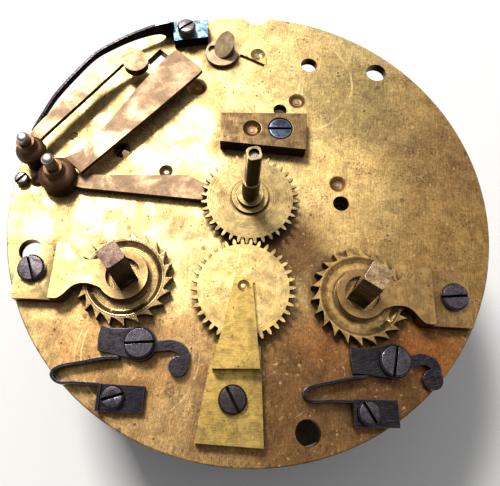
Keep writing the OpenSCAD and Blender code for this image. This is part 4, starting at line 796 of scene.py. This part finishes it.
class CLOCK_OT_barrel_work(bpy.types.Operator):
    """Bridges, ratchets, winding squares and their screws"""

    bl_idname = "clock.barrel_work"
    bl_label = "Ratchets and bridges"

    def execute(self, context):
        soft = context.scene.movement_sizes.edge_softening / MM
        for side, joint, turn, smudge, hub, metallic in (
            ("left", "strike_winding_turn", 0, 4.6, (0.22, 0.125, 0.055), 0.88),
            ("right", "going_winding_turn", 90, 3.9, (0.3, 0.17, 0.075), 0.6),
        ):
            at = joint_place(joint)
            # the bridges' tones are a lit and a shaded copy of one brass, as painted light
            bridge = brass_finish(
                side + "_bridge_brass",
                *BRASS[side + "_bridge"],
                marks=turn,
                sinks=((at, smudge),),
                hub=hub,
                contrast=1.2,
            )
            softened(side + "_barrel_bridge", bridge, soft)
            ratchet = brass_finish(
                side + "_ratchet_brass",
                *BRASS[side + "_ratchet"],
                centre=at,
                rough=0.24,
                cloud=2.2,
                contrast=1.4,
                metallic=metallic,
                # painted shade: the groove beside the bridge's ring, and a second ring in the dish
                rings=((at, 4.25, 0.55), (at, 6.4, 0.3)),
            )
            softened(side + "_ratchet", ratchet, 0.08)
        square = steel_finish("winding_steel", *STEEL["winding"], rust=(0.17, 0.08, 0.04), wall=0.25)
        softened("strike_barrel_arbor", square, 0.7, 4)
        worn = steel_finish(
            "worn_winding_steel",
            *STEEL["worn_winding"],
            rough=0.28,
            rust=(0.14, 0.07, 0.035),
            wall=0.05,
        )
        softened("going_barrel_arbor", worn, 0.4, 3)
        screws = steel_finish("screw_steel", *STEEL["bridge_screw"], marks=30)
        softened("bridge_screws", screws, 0.12, slotted=True)
        return {"FINISHED"}


class CLOCK_OT_clicks(bpy.types.Operator):
    """Clicks, click springs and their screws"""

    bl_idname = "clock.clicks"
    bl_label = "Clicks"

    def execute(self, context):
        steel = steel_finish("click_steel", *STEEL["click"], marks=20, rough=0.32, worn=0.5)
        for node in ("left_click", "right_click"):
            softened(node, steel, 0.12)
        spring = steel_finish("spring_steel", *STEEL["click_spring"], rough=0.26)
        for node in ("left_click_spring", "right_click_spring"):
            softened(node, spring, 0.08)
        screws = steel_finish("click_screw_steel", *STEEL["click_screw"], marks=60, rough=0.26)
        softened("click_screws", screws, 0.12, slotted=True)
        softened("click_spring_screws", screws, 0.1, slotted=True)
        return {"FINISHED"}


class CLOCK_OT_levers(bpy.types.Operator):
    """Strike levers, their posts, the lever spring, the stop stud and the small screws"""

    bl_idname = "clock.levers"
    bl_label = "Strike levers"

    def execute(self, context):
        soft = context.scene.movement_sizes.edge_softening / MM
        tone = tuple(context.scene.movement_finishes.lever_bright)
        for node, turn, joint in (
            ("detent_lever", 48, "detent_swing"),
            ("lifting_lever", 50, "lifting_swing"),
        ):
            finish = brass_finish(
                node + "_brass",
                tone,
                toned(tone, 0.84),
                (0.17, 0.1, 0.055),
                marks=turn,
                wear_and_glint=(0.5, 0.36, 0.23),
                rough=0.46,
                cloud=6,
                sinks=((joint_place(joint), 4.3),),
                hub=(0.15, 0.07, 0.035),
                contrast=0.6,
            )
            softened(node, finish, soft)
        softened("stop_stud", brass_finish("stud_brass", *BRASS["stud"], marks=40, metallic=0.2), 0.1)
        softened("lever_posts", steel_finish("post_steel", *STEEL["post"], rough=0.25), 0.2, 3)
        ribbon = steel_finish(
            "lever_spring_steel",
            *STEEL["lever_spring"],
            rough=0.2,
            worn=0.4,
            tempered=TEMPERED_FOOT,
        )
        softened("lever_spring", ribbon, 0.07)
        screws = steel_finish("small_screw_steel", *STEEL["small_screw"])
        softened("small_screws", screws, 0.1, slotted=True)
        return {"FINISHED"}


class CLOCK_OT_rear_work(bpy.types.Operator):
    """Back plate, pillars, barrels and everything between and behind the plates"""

    bl_idname = "clock.rear_work"
    bl_label = "Trains and back plate"

    def execute(self, context):
        plate = brass_finish(
            "rear_plate_brass", *BRASS["rear_plate"], marks=84, cloud=9, inner_dark=True
        )
        softened("back_plate", plate, 0.12)
        body = brass_finish("frame_brass", *BRASS["frame"], cloud=6)
        for node in ("pillars", "back_cock", "bell_stand_foot"):
            softened(node, body, 0.12)
        for node in ("going_barrel", "strike_barrel"):
            axis = joint_place(node + "_turn")
            drum = brass_finish(node + "_brass", *BRASS["barrel"], centre=axis, cloud=8)
            painted(node, drum)
            painted(node + "_cap", drum)
        for node, joint in (
            ("intermediate_wheel", "intermediate_turn"),
            ("centre_wheel", "centre_turn"),
            ("third_wheel", "third_turn"),
            ("escape_wheel", "escape_turn"),
            ("second_wheel", "second_turn"),
            ("count_wheel", "second_turn"),
            ("pin_wheel", "pin_wheel_turn"),
            ("locking_wheel", "locking_turn"),
            ("warning_wheel", "warning_turn"),
            ("fly", "fly_turn"),
        ):
            axis = joint_place(joint)
            painted(node, brass_finish(node + "_brass", *BRASS["train_wheel"], centre=axis))
        steel = steel_finish("train_steel", *STEEL["train"])
        for node in (
            "intermediate_arbor",
            "third_arbor",
            "escape_arbor",
            "anchor",
            "anchor_arbor",
            "crutch",
            "second_arbor",
            "pin_wheel_arbor",
            "hammer",
            "hammer_spring",
            "pillar_pins",
            "back_cock_screws",
        ):
            painted(node, steel)
        spring = steel_finish("mainspring_steel", *STEEL["mainspring"])
        for node in ("going_mainspring", "strike_mainspring"):
            painted(node, spring)
        return {"FINISHED"}


def table_finish():
    """Matt white with a faint weave."""
    f = Finish("table_white", metallic=0.0)
    weave = f.noise(0.6, 3, 0.6)
    colour = f.blend(f.between(weave, 0.3, 0.7), *TABLE_TONES)
    f.bump(weave, 0.1, 0.02)
    return f.done(colour, 0.8)


def area_light(name, place, size, power, colour):
    """A rectangular light aimed at the middle of the front plate."""
    data = bpy.data.lights.new(name, "AREA")
    data.shape = "RECTANGLE"
    data.size, data.size_y = size
    data.energy = power
    data.color = colour
    lamp = bpy.data.objects.new(name, data)
    lamp.location = place
    aim = Vector((0, 0, FACE)) - Vector(place)
    lamp.rotation_euler = aim.to_track_quat("-Z", "Y").to_euler()
    bpy.context.scene.collection.objects.link(lamp)


class CLOCK_OT_stage(bpy.types.Operator):
    """Pale table, window-like light from the upper left, soft fill and the camera"""

    bl_idname = "clock.stage"
    bl_label = "Stage"

    def execute(self, context):
        scene = context.scene
        scene.view_settings.view_transform = "Standard"
        mesh = bpy.data.meshes.new("table")
        half = TABLE_HALF
        corners = [(-half, -half, 0), (half, -half, 0), (half, half, 0), (-half, half, 0)]
        mesh.from_pydata(corners, [], [(0, 1, 2, 3)])
        mesh.materials.append(table_finish())
        table = bpy.data.objects.new("table", mesh)
        scene.collection.objects.link(table)

        world = scene.world or bpy.data.worlds.new("studio")
        scene.world = world
        world.use_nodes = True
        nodes, links = world.node_tree.nodes, world.node_tree.links
        nodes.clear()
        room = nodes.new("ShaderNodeBackground")
        room.inputs["Color"].default_value, room.inputs["Strength"].default_value = ROOM
        links.new(room.outputs[0], nodes.new("ShaderNodeOutputWorld").inputs[0])

        for light in LIGHTS:
            area_light(*light)

        data = bpy.data.cameras.new("camera")
        data.sensor_width = CAMERA_SENSOR
        data.lens = scene.movement_sizes.lens
        data.shift_x, data.shift_y = CAMERA_SHIFT
        data.clip_start = CAMERA_NEAREST
        camera = bpy.data.objects.new("camera", data)
        camera.location = Vector((0, 0, FACE)) + Vector(CAMERA_PLACE) * MM
        camera.rotation_euler = Euler([math.radians(a) for a in CAMERA_TURN])
        scene.collection.objects.link(camera)
        scene.camera = camera
        return {"FINISHED"}


STEPS = (
    CLOCK_OT_front_plate,
    CLOCK_OT_cocks,
    CLOCK_OT_motion_work,
    CLOCK_OT_barrel_work,
    CLOCK_OT_clicks,
    CLOCK_OT_levers,
    CLOCK_OT_rear_work,
    CLOCK_OT_stage,
)


class CLOCK_PT_movement(bpy.types.Panel):
    """Lists the movement's pieces, sizes and colours"""

    bl_idname = "CLOCK_PT_movement"
    bl_label = "Clock movement"
    bl_space_type = "VIEW_3D"
    bl_region_type = "UI"
    bl_category = "Clock movement"

    def draw(self, context):
        for group in (context.scene.movement_finishes, context.scene.movement_sizes):
            for name in type(group).__annotations__:
                self.layout.prop(group, name)
        for step in STEPS:
            self.layout.operator(step.bl_idname)


CLASSES = (MovementFinishes, MovementSizes, *STEPS, CLOCK_PT_movement)


def register():
    """Adds the movement's classes and its two groups of settings."""
    for item in CLASSES:
        bpy.utils.register_class(item)
    bpy.types.Scene.movement_finishes = bpy.props.PointerProperty(type=MovementFinishes)
    bpy.types.Scene.movement_sizes = bpy.props.PointerProperty(type=MovementSizes)


def unregister():
    """Takes them away again."""
    del bpy.types.Scene.movement_sizes
    del bpy.types.Scene.movement_finishes
    for item in reversed(CLASSES):
        bpy.utils.unregister_class(item)


def main():
    register()
    bpy.ops.clock.front_plate()
    bpy.ops.clock.cocks()
    bpy.ops.clock.motion_work()
    bpy.ops.clock.barrel_work()
    bpy.ops.clock.clicks()
    bpy.ops.clock.levers()
    bpy.ops.clock.rear_work()
    bpy.ops.clock.stage()


if __name__ == "__main__":
    main()
